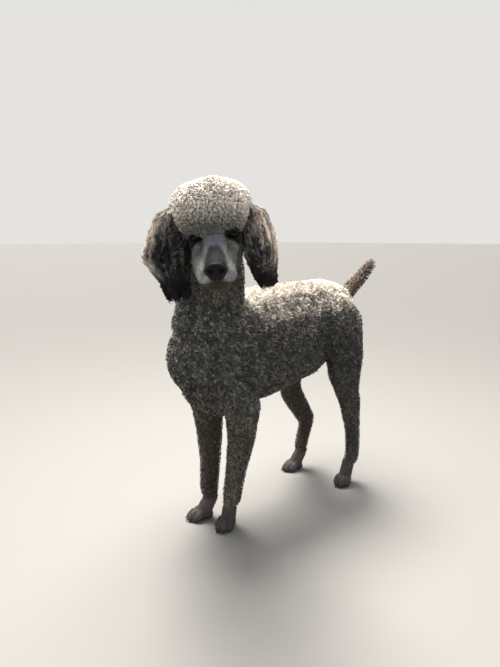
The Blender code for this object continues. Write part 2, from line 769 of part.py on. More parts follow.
def ear_lock(side, start, turn, draw):
    """A flat lock that leaves the ear's core at a height and a bearing and hangs down over the next."""
    long = EAR_LOCK_LENGTH * draw.uniform(0.90, 1.15)
    sway = draw.uniform(0.0, 2.0 * math.pi)
    path = []
    tip = draw.uniform(0.68, 0.94)
    for out, part in zip((0.40, 0.76, 0.90, 0.88, 0.87, tip), (0.0, 0.16, 0.40, 0.62, 0.82, 1.0)):
        centre, radii = ear_outline(side, start + part * long)
        bearing = turn + 0.16 * math.sin(sway + part * 5.0)
        aside = Vector((radii.x * math.cos(bearing), radii.y * math.sin(bearing), 0.0))
        path.append(centre + aside * out)
    widths = [EAR_LOCK_WIDTH * w for w in (0.60, 1.0, 1.0, 0.84, 0.52, 0.08)]
    depths = [EAR_LOCK_DEPTH * d for d in (1.0, 1.0, 1.0, 0.8, 0.6, 0.25)]
    return strand(path, widths, depths, Vector((math.cos(turn), math.sin(turn), 0.15)), sides=4)


def make_ear(side, head):
    """A leather flap inside thick hair, cut where it meets the head, the topknot and the neck."""
    s = SIDES[side]
    draw = random.Random(SEED + (2 if s > 0 else 3))
    shell = bmesh.new()
    core = []
    for centre, radii in ear_spots(side)[:-1]:
        core.append((centre, Vector((radii.x * 0.5, radii.y * 0.5, radii.z * 0.7))))
    muscle(shell, *core)
    ear = fused(f"ear_{side}", shell, 0.0035, 5, 180)
    locks = []
    for row, (start, count) in enumerate(EAR_ROWS):
        for i in range(count):
            turn = 2.0 * math.pi * (i + 0.5 * (row % 2) + draw.uniform(-0.12, 0.12)) / count
            locks.append(ear_lock(side, start + draw.uniform(-0.03, 0.03), turn, draw))
    join(ear, locks)
    thin_out(ear, EAR_FACES)
    cup = bmesh.new()
    hull(cup, spot(s * 0.056, 0.016, 0.004, 0.007, 0.012, 0.010),
         spot(s * 0.062, 0.020, -0.020, 0.006, 0.010, 0.012))
    carve(ear, cup)
    ear.data.transform(hanging_frame())
    point, up = ear_plane(s)
    above = wedge(block(point, up, 0.2, 0.2), -up * GAP / 2)
    bmesh.ops.transform(above, matrix=hanging_frame(), verts=above.verts)
    carve(ear, above)
    clear_of(ear, head)
    links = neck_spots()
    for i, pair in enumerate(zip(links, links[1:])):
        guard = bmesh.new()
        hull(guard, *pair, grow=0.003 + i * 0.0003)
        carve(ear, guard)
    keep_largest(ear)
    return ear


# The toes: place and radius of each
TOES = (
    (-0.0165, -0.010, 0.0095), (-0.0060, -0.024, 0.0100),
    (0.0060, -0.024, 0.0100), (0.0165, -0.010, 0.0095),
)


def make_paw(name, place, turn, ankle):
    """A shaved foot with four toes and claws; ankle is where the leg comes in, from the paw's centre."""
    shell = bmesh.new()
    muscle(shell, spot(*ankle, 0.0185, 0.0200, 0.012), spot(0.0, 0.006, 0.026, 0.0190, 0.022, 0.018))
    muscle(shell, spot(0.0, 0.012, 0.012, 0.0170, 0.018, 0.013),
           spot(0.0, 0.004, 0.018, 0.0190, 0.020, 0.016))
    for x, y, radius in TOES:
        muscle(shell, spot(x * 0.7, y * 0.4, 0.020, 0.0105, 0.012, 0.012),
               spot(x, y - 0.002, 0.0160, radius, 0.011, 0.0125),
               spot(x * 1.05, y - 0.010, 0.0100, radius * 0.9, 0.0095, 0.0105))
    paw = fused(name, shell, FINE_VOXEL, 3, PAW_FACES)
    claws = []
    for x, y, radius in TOES:
        claw = bmesh.new()
        bmesh.ops.create_cone(claw, cap_ends=True, segments=5, radius1=0.0036, radius2=0.0010, depth=0.014)
        lean = Matrix.Rotation(math.radians(122.0), 4, "X")
        aim = Matrix.Translation((x * 1.07, y - 0.0185, 0.0080)) @ lean
        bmesh.ops.transform(claw, matrix=aim, verts=claw.verts)
        claws.append(claw)
    join(paw, claws)
    sunk = place - Vector((0.0, 0.0, SOLE_DEPTH))
    frame = Matrix.Translation(sunk) @ Matrix.Rotation(math.radians(turn), 4, "Z")
    paw.data.transform(frame @ Matrix.Diagonal((PAW_SIZE, PAW_SIZE, 1.0, 1.0)))
    carve(paw, slab((-1, -1, -1), (1, 1, 0)))
    carve(paw, slab((-1, -1, PAW_TOP), (1, 1, 1)))
    keep_largest(paw)
    return paw


def make_paws():
    for side in SIDES:
        turn = FRONT_TURN[side]
        make_paw(f"paw_front_{side}", FRONT_PAW[side], turn, (0.0, ANKLE_BACK[side] - 0.002, 0.055))
        turn = HIND_TURN[side]
        make_paw(f"paw_hind_{side}", HIND_PAW[side], turn, (0.0, 0.026, 0.055))


COLOURS = {
    "torso": (0.42, 0.37, 0.32), "neck": (0.30, 0.27, 0.23), "tail": (0.36, 0.32, 0.28),
    "leg": (0.33, 0.30, 0.27), "thigh": (0.38, 0.34, 0.30), "shank": (0.34, 0.31, 0.28),
    "hock": (0.33, 0.30, 0.27), "head": (0.36, 0.36, 0.37), "topknot": (0.55, 0.50, 0.45),
    "ear": (0.10, 0.09, 0.09), "nose": (0.02, 0.02, 0.022), "eye": (0.015, 0.010, 0.008),
    "paw": (0.20, 0.20, 0.22),
}
ROUGHNESS = {"nose": 0.35, "eye": 0.08, "paw": 0.7, "head": 0.75}


def dress_and_place():
    """Gives each node its material and puts the middle of the whole footprint at the origin."""
    nodes = [obj for obj in bpy.context.scene.objects if obj.type == "MESH"]
    low = Vector((min(v.co[i] for obj in nodes for v in obj.data.vertices) for i in range(3)))
    high = Vector((max(v.co[i] for obj in nodes for v in obj.data.vertices) for i in range(3)))
    middle = Vector(((low.x + high.x) / 2, (low.y + high.y) / 2, 0.0))
    for obj in nodes:
        kind = obj.name.split("_")[0]
        obj.data.materials.clear()
        obj.data.materials.append(material(obj.name, COLOURS[kind], ROUGHNESS.get(kind, 0.9)))
        obj.data.transform(Matrix.Translation(-middle))
        obj.data.update()


def build():
    clear_scene()
    body = body_flesh(-COAT)
    grow_coat(body)
    part_body(body)
    head = head_blank()
    make_topknot(head)
    for side in SIDES:
        make_ear(side, head)
    make_face(head)
    make_nose()
    make_eyes()
    make_paws()
    dress_and_place()


build()
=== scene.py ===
"""The looks of a life-size standing standard poodle: skin, curly coat, face, floor, lights and camera.

Metres, +Z up. Shapes are worked out on the stance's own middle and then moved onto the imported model.
"""

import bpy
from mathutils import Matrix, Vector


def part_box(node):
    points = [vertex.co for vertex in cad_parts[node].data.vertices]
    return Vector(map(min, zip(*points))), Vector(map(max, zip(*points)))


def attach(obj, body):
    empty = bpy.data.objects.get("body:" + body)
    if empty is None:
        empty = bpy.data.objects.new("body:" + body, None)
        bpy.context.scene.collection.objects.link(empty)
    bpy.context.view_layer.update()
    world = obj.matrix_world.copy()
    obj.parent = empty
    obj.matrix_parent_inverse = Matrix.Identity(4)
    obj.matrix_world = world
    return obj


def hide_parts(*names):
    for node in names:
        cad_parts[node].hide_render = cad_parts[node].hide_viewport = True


bl_info = {
    "name": "Standing poodle",
    "version": (1, 0, 0),
    "blender": (4, 5, 0),
    "location": "3D View > Sidebar > Poodle",
    "description": "Builds the skin, coat and face of a standing poodle round its packed solids",
    "category": "Add Mesh",
}

import math

import bmesh
import bpy
import numpy as np
from bpy.props import FloatProperty, FloatVectorProperty, IntProperty, PointerProperty
from mathutils import Matrix, Vector
from mathutils.kdtree import KDTree

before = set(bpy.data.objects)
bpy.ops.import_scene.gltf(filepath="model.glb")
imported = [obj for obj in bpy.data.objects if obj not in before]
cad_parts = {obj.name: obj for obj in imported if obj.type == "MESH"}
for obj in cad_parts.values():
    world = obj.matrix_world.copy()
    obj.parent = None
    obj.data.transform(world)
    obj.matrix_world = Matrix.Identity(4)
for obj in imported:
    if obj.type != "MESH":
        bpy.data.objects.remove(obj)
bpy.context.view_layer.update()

COARSE = 1.0

SIDES = {"left": 1.0, "right": -1.0}
FLESH = ["torso", "neck", "tail", "head"] + [
    f"{part}_{side}" for side in SIDES
    for part in ("leg_front", "paw_front", "thigh", "shank", "hock", "paw_hind")
]

# The stance: joints and paws on a floor at z = 0, from the middle of the four feet
FRONT_PAW = {"left": Vector((0.035, -0.200, 0.0)), "right": Vector((-0.035, -0.224, 0.0))}
FRONT_TURN = {"left": 20.0, "right": -26.0}
ANKLE_BACK = {"left": 0.018, "right": 0.026}
ELBOW = {"left": Vector((0.064, -0.178, 0.300)), "right": Vector((-0.066, -0.186, 0.300))}
STIFLE = {"left": Vector((0.082, 0.168, 0.335)), "right": Vector((-0.078, 0.128, 0.330))}
CALF = {"left": Vector((0.086, 0.205, 0.250)), "right": Vector((-0.076, 0.135, 0.250))}
HOCK = {"left": Vector((0.087, 0.221, 0.165)), "right": Vector((-0.072, 0.202, 0.150))}
HOCK_LONG = {"left": 0.027, "right": 0.033}
HIND_PAW = {"left": Vector((0.088, 0.192, 0.0)), "right": Vector((-0.070, 0.150, 0.0))}
HIND_TURN = {"left": 12.0, "right": -14.0}
PAW_SIZE = 0.90
SOLE_DEPTH = 0.0025
PAW_TOP = 0.052
TOES = (
    (-0.0165, -0.010, 0.0095), (-0.0060, -0.024, 0.0100),
    (0.0060, -0.024, 0.0100), (0.0165, -0.010, 0.0095),
)

# The head, placed by the point between the eyes
BROW = Vector((0.159, -0.325, 0.700))
HEAD_TURN = 50.0
HEAD_TIP = 18.0
HEAD_LEAN = -5.5
HANG_LEAN = -3.0
EYE_SPREAD = 0.0333
EYE_RADIUS = 0.0122
GAZE_OUT = 15.0
GAZE_UP = 9.0

# The topknot from brow to nape: half spread, place and radii of three lobes; the left one is narrower
TOPKNOT_FALL = 0.009
TOPKNOT_LEFT = 0.70
TOPKNOT = (
    (0.029, 0.011, 0.053, 0.048, 0.053, 0.056),
    (0.035, 0.046, 0.058, 0.054, 0.070, 0.057),
    (0.022, 0.092, 0.030, 0.054, 0.062, 0.062),
    (0.010, 0.112, -0.030, 0.048, 0.050, 0.050),
)

# Wool that hangs over the brow: place in the head's frame and radius
FRINGE = (
    (-0.012, -0.014, 0.0110, 0.0185), (0.003, -0.014, 0.0115, 0.0185),
    (0.023, -0.008, 0.030, 0.0175), (-0.023, -0.008, 0.030, 0.0175),
    (0.044, 0.004, 0.032, 0.0175), (-0.044, 0.004, 0.032, 0.0175), (-0.025, -0.010, 0.0170, 0.0170),
)
FRINGE_CORE = 0.0075

# A claw from root to tip: share of its toe's offset, place before the toe, height and half width
CLAW = (
    (1.05, -0.0120, 0.0105, 0.0031), (1.07, -0.0170, 0.0098, 0.0029),
    (1.09, -0.0212, 0.0074, 0.0022), (1.10, -0.0240, 0.0042, 0.0009),
)
PINK_TOE = (0.22, 0.18, 0.165)

# Almond opening of the lids: half width, half height and thickness of its rim
LID_WIDE = 0.0114
LID_HIGH = 0.0072
LID_THICK = 0.0021

# Voxels in which each shape is fused, finest where its detail is
BODY_VOXEL = 0.0050
HEAD_VOXEL = 0.0019
PAW_VOXEL = 0.0020
NOSE_VOXEL = 0.0006
NOSTRIL_VOXEL = 0.0005
CLAW_VOXEL = 0.0007
WOOL_VOXEL = 0.0030

# The ears' hair: highest start as a share of the length, outer edge by depth, how far the pale edge
# of painted rim light reaches in, and where the black tip starts and is full
EAR_START = {"left": -0.15, "right": -0.20}
EAR_OUTER = {"left": ((-0.06, 0.036, 0.074), (0.086, 0.119, 0.113)),
             "right": ((-0.06, 0.034, 0.084), (0.094, 0.144, 0.112))}
EAR_INWARD = {"left": 0.005, "right": 0.0}
EAR_TIP = {"left": (-0.050, -0.076), "right": (-0.055, -0.092)}
LOCK_HAIRS = 9
LOCK_STEPS = 11
LOCK_WIDTH = 0.00105
EAR_LENGTH = 0.165
EAR_WAVE = 0.0135

# Hair roots: cells on a side of the grid round the model, the model's place in it for roots and for
# curls, and how many spots are tried for a cell
GRID = 4096
ROOT_START = 512.0
CURL_START = 512.3
TRIED = 9

# The trunk's coat: its first and last place and its number of pieces
TRUNK_SPAN = (-0.34, 0.30)
TRUNK_PIECES = 5

# Curls: spacing, share by which tufts draw together, turns, steps, rise off the skin, drift along the
# lie, radius of the loop, half width of a tuft, and how far the lie strays
TRUNK_CURL = {"draw": 0.35, "turns": 1.20, "steps": 5, "rise": 0.0114, "drift": 0.0038, "loop": 0.0020}
LIMB_CURL = {**TRUNK_CURL, "rise": 0.0058, "drift": 0.0022, "loop": 0.0014}
LIMB_SPACING = 0.85
BROW_CURL = {"curl": 0.0062, "draw": 0.45, "turns": 1.10, "steps": 5, "rise": 0.0100, "drift": 0.0036,
             "loop": 0.0023, "width": 0.00088, "stray": 0.8}
CROWN_CURL = {**BROW_CURL, "curl": 0.0040, "draw": 0.35, "drift": 0.0026, "loop": 0.0016, "stray": 1.2}
NAP_CURL = {"curl": 0.004, "draw": 0.0, "turns": 0.3, "steps": 4, "rise": 0.0011, "drift": 0.0044,
            "loop": 0.0003, "width": 0.00050, "stray": 0.25}
CURL_STRAY = 0.55
CURL_SUNK = 0.0015
NAP_LIFT = 0.0012
MAP_PATCH = 0.003

# The camera: focal length and height of the frame in pixels, place, level heading and dip in degrees
FOCAL_PIXELS = 501.0
FRAME_PIXELS = 667.0
FILM = 36.0
CAMERA_PLACE = Vector((0.909380, -0.907443, 0.69626))
CAMERA_HEADING = Vector((-0.745582, 0.666414, 0.0))
CAMERA_DIP = 10.8

# Lamps: kind, name, place, aim, power, width or angle, and colour
LAMPS = (
    ("SUN", "key", (-0.85, 0.30, 1.85), (0.0, 0.0, 0.0), 5.2, 28.0, (1.0, 0.95, 0.88)),
    ("AREA", "rim", (-0.32, 0.10, 1.80), (0.05, -0.12, 0.5), 35.0, 1.1, (1.0, 0.95, 0.88)),
    ("AREA", "front", (1.4, -2.2, 1.7), (0.05, -0.1, 0.45), 4.0, 2.6, (0.96, 0.98, 1.0)),
)
FLOOR_SIZE = 60.0

# The studio's light from below to above, by height
STUDIO = ((0.38, (0.78, 0.77, 0.75)), (0.62, (0.30, 0.31, 0.33)))


def length(name, description, metres):
    return FloatProperty(name=name, description=description, default=metres, subtype="DISTANCE")


def tint(name, description, colour):
    return FloatVectorProperty(name=name, description=description, default=colour, subtype="COLOR",
                               size=3, min=0.0, max=1.0)


class PoodleSizes(bpy.types.PropertyGroup):
    """Depth, spacing and width of the coat"""

    trunk_depth: length("Trunk coat", "Depth of the coat on trunk and neck", 0.0095)
    limb_depth: length("Leg coat", "Depth of the coat on legs and tail", 0.0052)
    topknot_depth: length("Topknot coat", "Depth of the topknot's loose curls", 0.0108)
    hair_gap: length("Hair spacing", "Cell that holds one tuft of the body's coat", 0.0048)
    hair_width: length("Hair width", "Half width of a tuft of the body's coat", 0.00105)
    curl_gap: length("Curl spacing", "Cell that holds one curl of several tufts", 0.0062)
    topknot_gap: length("Topknot spacing", "Cell that holds one topknot tuft", 0.0028)
    nap_gap: length("Nap spacing", "Cell that holds one hair of face or feet", 0.0042)
    ear_locks: IntProperty(name="Ear locks", description="Wavy locks on each ear", default=330, min=20)
    seed: IntProperty(name="Seed", description="Start of the random draws", default=7)


class PoodleColours(bpy.types.PropertyGroup):
    """Colours of coat, skin and floor, with painted light and shade among them"""

    # Painted sunlight: the back's pale cream stands for light falling on the top of the trunk.
    back: tint("Back", "Coat along the back", (0.92, 0.835, 0.735))
    flank: tint("Flank", "Coat on chest and flanks", (0.245, 0.242, 0.222))
    leg: tint("Leg", "Coat on the legs", (0.220, 0.208, 0.172))
    # Painted shade: the dark underside colour stands for shade under the trunk and inside the legs.
    underside_shade: tint("Underside", "Coat underneath and inside the legs", (0.135, 0.096, 0.068))
    throat: tint("Throat", "Clipped coat on the throat", (0.190, 0.186, 0.145))
    # The topknot's crown colour is partly its own cream and partly painted sunlight; its brow colour is
    # partly painted shade.
    topknot_top: tint("Topknot crown", "Crown of the topknot", (0.97, 0.90, 0.815))
    topknot_low: tint("Topknot brow", "Lower front of the topknot", (0.190, 0.188, 0.160))
    ear_dark: tint("Ear", "Body of the ears' hair", (0.026, 0.0245, 0.025))
    # Painted highlight on the crests of the ears' waves, on about half of the locks.
    ear_wave_highlight: tint("Pale lock", "Pale locks among the ears' dark hair", (0.42, 0.405, 0.385))
    # Painted rim light and sunlight on the ears' outer and upper edges.
    ear_rim_light: tint("Ear edge", "Outer and upper edge of the ears", (1.0, 0.88, 0.76))
    ear_tip: tint("Ear tip", "Hanging tips of the ears", (0.006, 0.0055, 0.0065))
    face: tint("Face", "Shaved sides of the face", (0.190, 0.190, 0.175))
    stripe: tint("Muzzle stripe", "Pale stripe beside the bridge of the nose", (0.325, 0.335, 0.350))
    stop: tint("Stop", "Pale lilac skin between the eyes", (0.265, 0.265, 0.315))
    bridge: tint("Bridge", "Bare bridge of the nose", (0.030, 0.026, 0.032))
    # The eye rim is partly dark skin and partly painted shade under the fringe.
    eye_rim_and_shade: tint("Eye rim", "Dark skin round the eyes", (0.006, 0.0055, 0.0055))
    lip: tint("Lip", "Dark edge of the lips", (0.030, 0.026, 0.024))
    chin: tint("Chin", "Warm shade of the chin", (0.052, 0.043, 0.020))
    nose: tint("Nose", "Leather of the nose", (0.004, 0.0035, 0.0045))
    toes: tint("Toes", "Shaved toes", (0.100, 0.086, 0.090))
    claw: tint("Claw", "Claws", (0.022, 0.019, 0.018))
    floor: tint("Floor", "Floor and backdrop", (0.29, 0.285, 0.275))


def sizes():
    return bpy.context.scene.poodle_sizes


def colours():
    return bpy.context.scene.poodle_colours


# Shapes


def spot(x, y, z, rx, ry=None, rz=None):
    """A centre and the three radii of an ellipsoid there."""
    ry = rx if ry is None else ry
    return Vector((x, y, z)), Vector((rx, ry, rx if rz is None else rz))


def ball(spot_at, grow=0.0, level=2):
    centre, radii = spot_at
    shape = Matrix.Translation(centre) @ Matrix.Diagonal((*(radii + Vector((grow,) * 3)), 1.0))
    shell = bmesh.new()
    bmesh.ops.create_icosphere(shell, subdivisions=level, radius=1.0, matrix=shape)
    return shell


def add_shell(shell, other):
    mesh = bpy.data.meshes.new("passing")
    other.to_mesh(mesh)
    other.free()
    shell.from_mesh(mesh)
    bpy.data.meshes.remove(mesh)


def hull(shell, *spots, grow=0.0, level=2):
    """Adds the convex hull of some ellipsoids."""
    link = bmesh.new()
    for end in spots:
        add_shell(link, ball(end, grow, level))
    bmesh.ops.delete(link, geom=link.edges[:], context="EDGES_FACES")
    bmesh.ops.convex_hull(link, input=link.verts)
    bmesh.ops.delete(link, geom=[v for v in link.verts if not v.link_faces], context="VERTS")
    add_shell(shell, link)


def muscle(shell, *spots, grow=0.0, level=2):
    """Adds the hull of each two neighbouring ellipsoids, so that a chain of them makes a limb."""
    for first, second in zip(spots, spots[1:]):
        hull(shell, first, second, grow=grow, level=level)


def strand(path, width, depth, face, sides=8):
    """A closed blade along a path; width and depth are halves, and its flat side looks along face."""
    shell = bmesh.new()
    loops = []
    for i, point in enumerate(path):
        along = (path[min(i + 1, len(path) - 1)] - path[max(i - 1, 0)]).normalized()
        across = along.cross(face).normalized()
        turn = Matrix((across * width, across.cross(along) * depth, along)).transposed().to_4x4()
        place = Matrix.Translation(point) @ turn
        ring = bmesh.ops.create_circle(shell, segments=sides, radius=1.0, matrix=place)
        loops.append(list({e for v in ring["verts"] for e in v.link_edges}))
    for first, second in zip(loops, loops[1:]):
        bmesh.ops.bridge_loops(shell, edges=first + second)
    for loop in (loops[0], loops[-1]):
        bmesh.ops.contextual_create(shell, geom=loop)
    bmesh.ops.triangulate(shell, faces=shell.faces)
    bmesh.ops.recalc_face_normals(shell, faces=shell.faces)
    return shell


def turned(shell, matrix):
    bmesh.ops.transform(shell, matrix=matrix, verts=shell.verts)
    return shell


def mesh_object(name, shell):
    mesh = bpy.data.meshes.new(name)
    shell.to_mesh(mesh)
    shell.free()
    made = bpy.data.objects.new(name, mesh)
    bpy.context.scene.collection.objects.link(made)
    return made


def apply_modifiers(obj):
    graph = bpy.context.evaluated_depsgraph_get()
    mesh = bpy.data.meshes.new_from_object(obj.evaluated_get(graph))
    obj.modifiers.clear()
    obj.data = mesh


def fused(name, shell, voxel, rounds):
    """One smooth closed skin round every shell."""
    obj = mesh_object(name, shell)
    skin = obj.modifiers.new("Skin", "REMESH")
    skin.mode = "VOXEL"
    skin.voxel_size = voxel
    ease = obj.modifiers.new("Ease", "SMOOTH")
    ease.factor = 0.5
    ease.iterations = rounds
    apply_modifiers(obj)
    return obj


def combine(obj, shell, operation="DIFFERENCE"):
    """Cuts obj by a closed shell, or unites them."""
    tool = mesh_object("tool", shell)
    cut = obj.modifiers.new("Cut", "BOOLEAN")
    cut.operation = operation
    cut.object = tool
    cut.solver = "MANIFOLD"
    apply_modifiers(obj)
    bpy.data.objects.remove(tool)


def shell_of(obj):
    """Takes an object's mesh out as a shell and removes the object."""
    shell = bmesh.new()
    shell.from_mesh(obj.data)
    bpy.data.objects.remove(obj)
    return shell


def rotation(degrees, axis):
    return Matrix.Rotation(math.radians(degrees), 4, axis)


def head_frame():
    """From the head's own frame, nose along -Y and the point between the eyes at 0, to the dog's."""
    return (Matrix.Translation(BROW) @ rotation(HEAD_TURN, "Z") @ rotation(HEAD_LEAN, "Y")
            @ rotation(HEAD_TIP, "X"))


def hanging_frame():
    """The head's frame without its tip, for hair that hangs straight down."""
    return Matrix.Translation(BROW) @ rotation(HEAD_TURN, "Z") @ rotation(HANG_LEAN, "Y")


def gaze(s):
    """The place and turn of an eye: its own -Y looks out, a little to the side."""
    eye = Matrix.Translation((s * EYE_SPREAD, 0.0, 0.0))
    return head_frame() @ eye @ rotation(s * GAZE_OUT, "Z") @ rotation(-GAZE_UP, "X")


def stance_shift():
    """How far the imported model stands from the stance's own middle."""
    low, high = (Vector(corner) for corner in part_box("eye_left"))
    return (low + high) / 2 - gaze(1.0).translation


SHIFT = stance_shift()


def trunk_spots():
    """Chest, ribs, loin, croup and rump."""
    return (
        spot(0.0, -0.258, 0.428, 0.075, 0.069, 0.088),
        spot(0.0, -0.180, 0.424, 0.092, 0.090, 0.136),
        spot(0.0, -0.080, 0.434, 0.100, 0.090, 0.148),
        spot(0.0, 0.010, 0.443, 0.097, 0.090, 0.142),
        spot(0.0, 0.090, 0.447, 0.088, 0.080, 0.138),
        spot(0.0, 0.165, 0.477, 0.087, 0.075, 0.109),
        spot(0.0, 0.220, 0.490, 0.070, 0.058, 0.084),
    )


def brisket_spots():
    """The lowest part of the chest, between the forelegs."""
    return (
        spot(0.0, -0.245, 0.372, 0.056, 0.050, 0.070),
        spot(0.0, -0.190, 0.345, 0.060, 0.060, 0.080),
        spot(0.0, -0.110, 0.375, 0.062, 0.070, 0.080),
    )


def neck_spots():
    return (
        spot(-0.004, -0.218, 0.500, 0.084, 0.090, 0.084),
        spot(0.010, -0.220, 0.565, 0.072, 0.078, 0.070),
        spot(0.056, -0.242, 0.625, 0.061, 0.066, 0.060),
        spot(0.100, -0.274, 0.685, 0.053, 0.055, 0.055),
    )


def tail_spots():
    return (
        spot(0.0, 0.215, 0.510, 0.034, 0.036, 0.036),
        spot(0.004, 0.277, 0.536, 0.0220),
        spot(0.014, 0.325, 0.575, 0.0190),
        spot(0.026, 0.366, 0.621, 0.0150),
    )


def front_leg_chains(side):
    s, paw, wrist = SIDES[side], FRONT_PAW[side], FRONT_PAW[side].y + ANKLE_BACK[side]
    elbow = ELBOW[side]
    shoulder = (
        spot(s * 0.046, -0.160, 0.490, 0.040, 0.062, 0.075),
        spot(s * 0.058, elbow.y - 0.046, 0.400, 0.041, 0.048, 0.056),
        spot(elbow.x - s * 0.002, elbow.y - 0.006, elbow.z + 0.030, 0.042, 0.050, 0.050),
    )
    forearm = (
        spot(elbow.x, elbow.y + 0.002, elbow.z, 0.041, 0.043, 0.058),
        spot(s * 0.055, (wrist + elbow.y) / 2 + 0.009, 0.228, 0.033, 0.038, 0.042),
        spot(paw.x + s * 0.006, wrist + 0.006, 0.145, 0.0245, 0.0300, 0.032),
        spot(paw.x + s * 0.002, wrist - 0.002, 0.090, 0.0255, 0.0265, 0.020),
        spot(paw.x, wrist - 0.003, 0.060, 0.0240, 0.0250, 0.016),
    )
    return shoulder, forearm


def hind_leg_chains(side):
    s, paw = SIDES[side], HIND_PAW[side]
    stifle, calf, hock = STIFLE[side], CALF[side], HOCK[side]
    thigh = (
        spot(s * 0.056, 0.172, 0.470, 0.046, 0.084, 0.082),
        spot(s * 0.072, stifle.y + 0.014, 0.400, 0.045, 0.058, 0.060),
        spot(*stifle, 0.037, 0.041, 0.050),
    )
    ham = (
        spot(s * 0.050, 0.226, 0.455, 0.044, 0.050, 0.062),
        spot(s * 0.074, stifle.y + 0.036, 0.370, 0.040, 0.052, 0.060),
        spot(calf.x, calf.y + 0.002, 0.295, 0.029, 0.037, 0.045),
    )
    shank = (
        spot(*stifle, 0.034, 0.042, 0.046),
        spot(*calf, 0.0290, 0.0370, 0.038),
        spot(*hock, 0.0215, HOCK_LONG[side], 0.028),
    )
    pastern = (
        spot(hock.x, hock.y + 0.002, hock.z - 0.010, 0.0215, 0.0260, 0.026),
        spot(paw.x, paw.y + 0.034, 0.092, 0.0215, 0.0235, 0.022),
        spot(paw.x, paw.y + 0.027, 0.060, 0.0215, 0.0235, 0.016),
    )
    return thigh, ham, shank, pastern


def head_chains():
    """Skull, cheeks, brows, muzzle, lips and lower jaw in the head's own frame."""
    skull = (spot(0.0, 0.055, 0.016, 0.050, 0.065, 0.044), spot(0.0, 0.008, 0.006, 0.038, 0.030, 0.028))
    muzzle = (
        spot(0.0, 0.000, -0.004, 0.028, 0.022, 0.021),
        spot(0.0, -0.050, -0.015, 0.0225, 0.020, 0.0195),
        spot(0.0, -0.106, -0.026, 0.0205, 0.014, 0.0165),
    )
    jaw = (
        spot(0.0, 0.035, -0.048, 0.034, 0.030, 0.022),
        spot(0.0, -0.030, -0.055, 0.024, 0.020, 0.015),
        spot(0.0, -0.094, -0.0565, 0.0225, 0.015, 0.0125),
    )
    throat = (spot(0.0, 0.020, -0.045, 0.036, 0.035, 0.030), spot(0.0, 0.075, -0.045, 0.050, 0.045, 0.050))
    chains = [skull, muzzle, jaw, throat]
    for s in SIDES.values():
        cheek = (
            spot(s * 0.026, -0.006, -0.018, 0.018, 0.026, 0.022),
            spot(s * 0.038, 0.046, -0.014, 0.018, 0.032, 0.032),
        )
        brow = (
            spot(s * 0.014, -0.004, 0.012, 0.012, 0.014, 0.009),
            spot(s * 0.036, 0.004, 0.011, 0.012, 0.014, 0.009),
        )
        hang = 0.0085 if s < 0.0 else 0.0
        lip = (
            spot(s * (0.024 + 0.7 * hang), -0.014, -0.032, 0.016, 0.022, 0.022),
            spot(s * (0.0180 + hang), -0.058, -0.035, 0.0165, 0.024, 0.0220),
            spot(s * 0.0160, -0.098, -0.0395, 0.0180, 0.0175, 0.0180),
        )
        lid = (
            spot(s * EYE_SPREAD, 0.0, 0.0, EYE_RADIUS + 0.0025),
            spot(s * (EYE_SPREAD - 0.006), 0.012, 0.0, 0.014),
        )
        chains += [cheek, brow, lip, lid]
    return chains


def ear_spots(side):
    """The ears hang unlike: the right one spreads wider and longer than the left."""
    if side == "right":
        return (
            spot(-0.080, 0.042, 0.044, 0.032, 0.038, 0.030),
            spot(-0.092, 0.042, 0.004, 0.0405, 0.040, 0.034),
            spot(-0.101, 0.040, -0.034, 0.0450, 0.040, 0.026),
            spot(-0.086, 0.036, -0.084, 0.0270, 0.034, 0.024),
            spot(-0.081, 0.034, -0.114, 0.0220, 0.026, 0.016),
        )
    return (
        spot(0.072, 0.042, 0.044, 0.0270, 0.038, 0.024),
        spot(0.085, 0.042, 0.008, 0.0270, 0.038, 0.036),
        spot(0.089, 0.040, -0.036, 0.0305, 0.036, 0.034),
        spot(0.092, 0.037, -0.074, 0.0220, 0.026, 0.024),
        spot(0.096, 0.036, -0.094, 0.0170, 0.020, 0.015),
    )


# Skin


def body_skin():
    """Trunk, neck, legs and tail, drawn in by the depth of their coat, and the leather of the ears."""
    trunk, limb = -sizes().trunk_depth, -sizes().limb_depth
    shell = bmesh.new()
    muscle(shell, *trunk_spots(), grow=trunk)
    muscle(shell, *brisket_spots(), grow=trunk)
    muscle(shell, *neck_spots(), grow=trunk)
    muscle(shell, *tail_spots(), grow=limb)
    for side in SIDES:
        shoulder, forearm = front_leg_chains(side)
        thigh, ham, shank, pastern = hind_leg_chains(side)
        for chain in (shoulder, thigh, ham):
            muscle(shell, *chain, grow=trunk)
        for chain in (forearm, shank, pastern):
            muscle(shell, *chain, grow=limb)
    for side in SIDES:
        ear_flap(shell, side)
    return fused("body", shell, BODY_VOXEL, 6)


def lid_rims(shell):
    """Thick rims round each almond opening of the lids."""
    for s in SIDES.values():
        path = []
        for i in range(17):
            turn = 2.0 * math.pi * i / 16
            x = LID_WIDE * math.cos(turn)
            z = LID_HIGH * math.sin(turn) * (1.0 - 0.30 * abs(math.cos(turn)))
            y = -math.sqrt(max(1e-6, (EYE_RADIUS + 0.0006) ** 2 - x * x - z * z))
            path.append(Vector((x, y, z)))
        for first, second in zip(path, path[1:]):
            rim = bmesh.new()
            hull(rim, spot(*first, LID_THICK), spot(*second, LID_THICK), level=1)
            add_shell(shell, turned(rim, gaze(s)))


def ear_flap(shell, side):
    """The thin leather of an ear, hanging inside its hair."""
    flap = bmesh.new()
    chain = []
    for centre, radii in ear_spots(side)[:-1]:
        chain.append((centre, Vector((radii.x * 0.40, radii.y * 0.48, radii.z * 0.5))))
    muscle(flap, *chain, level=3)
    add_shell(shell, turned(flap, hanging_frame()))


def head_skin():
    """The shaved head with its lids."""
    shell = bmesh.new()
    for chain in head_chains():
        muscle(shell, *chain, level=3)
    turned(shell, head_frame())
    lid_rims(shell)
    muscle(shell, *neck_spots()[2:], grow=-sizes().trunk_depth, level=3)
    return fused("head", shell, HEAD_VOXEL, 7)


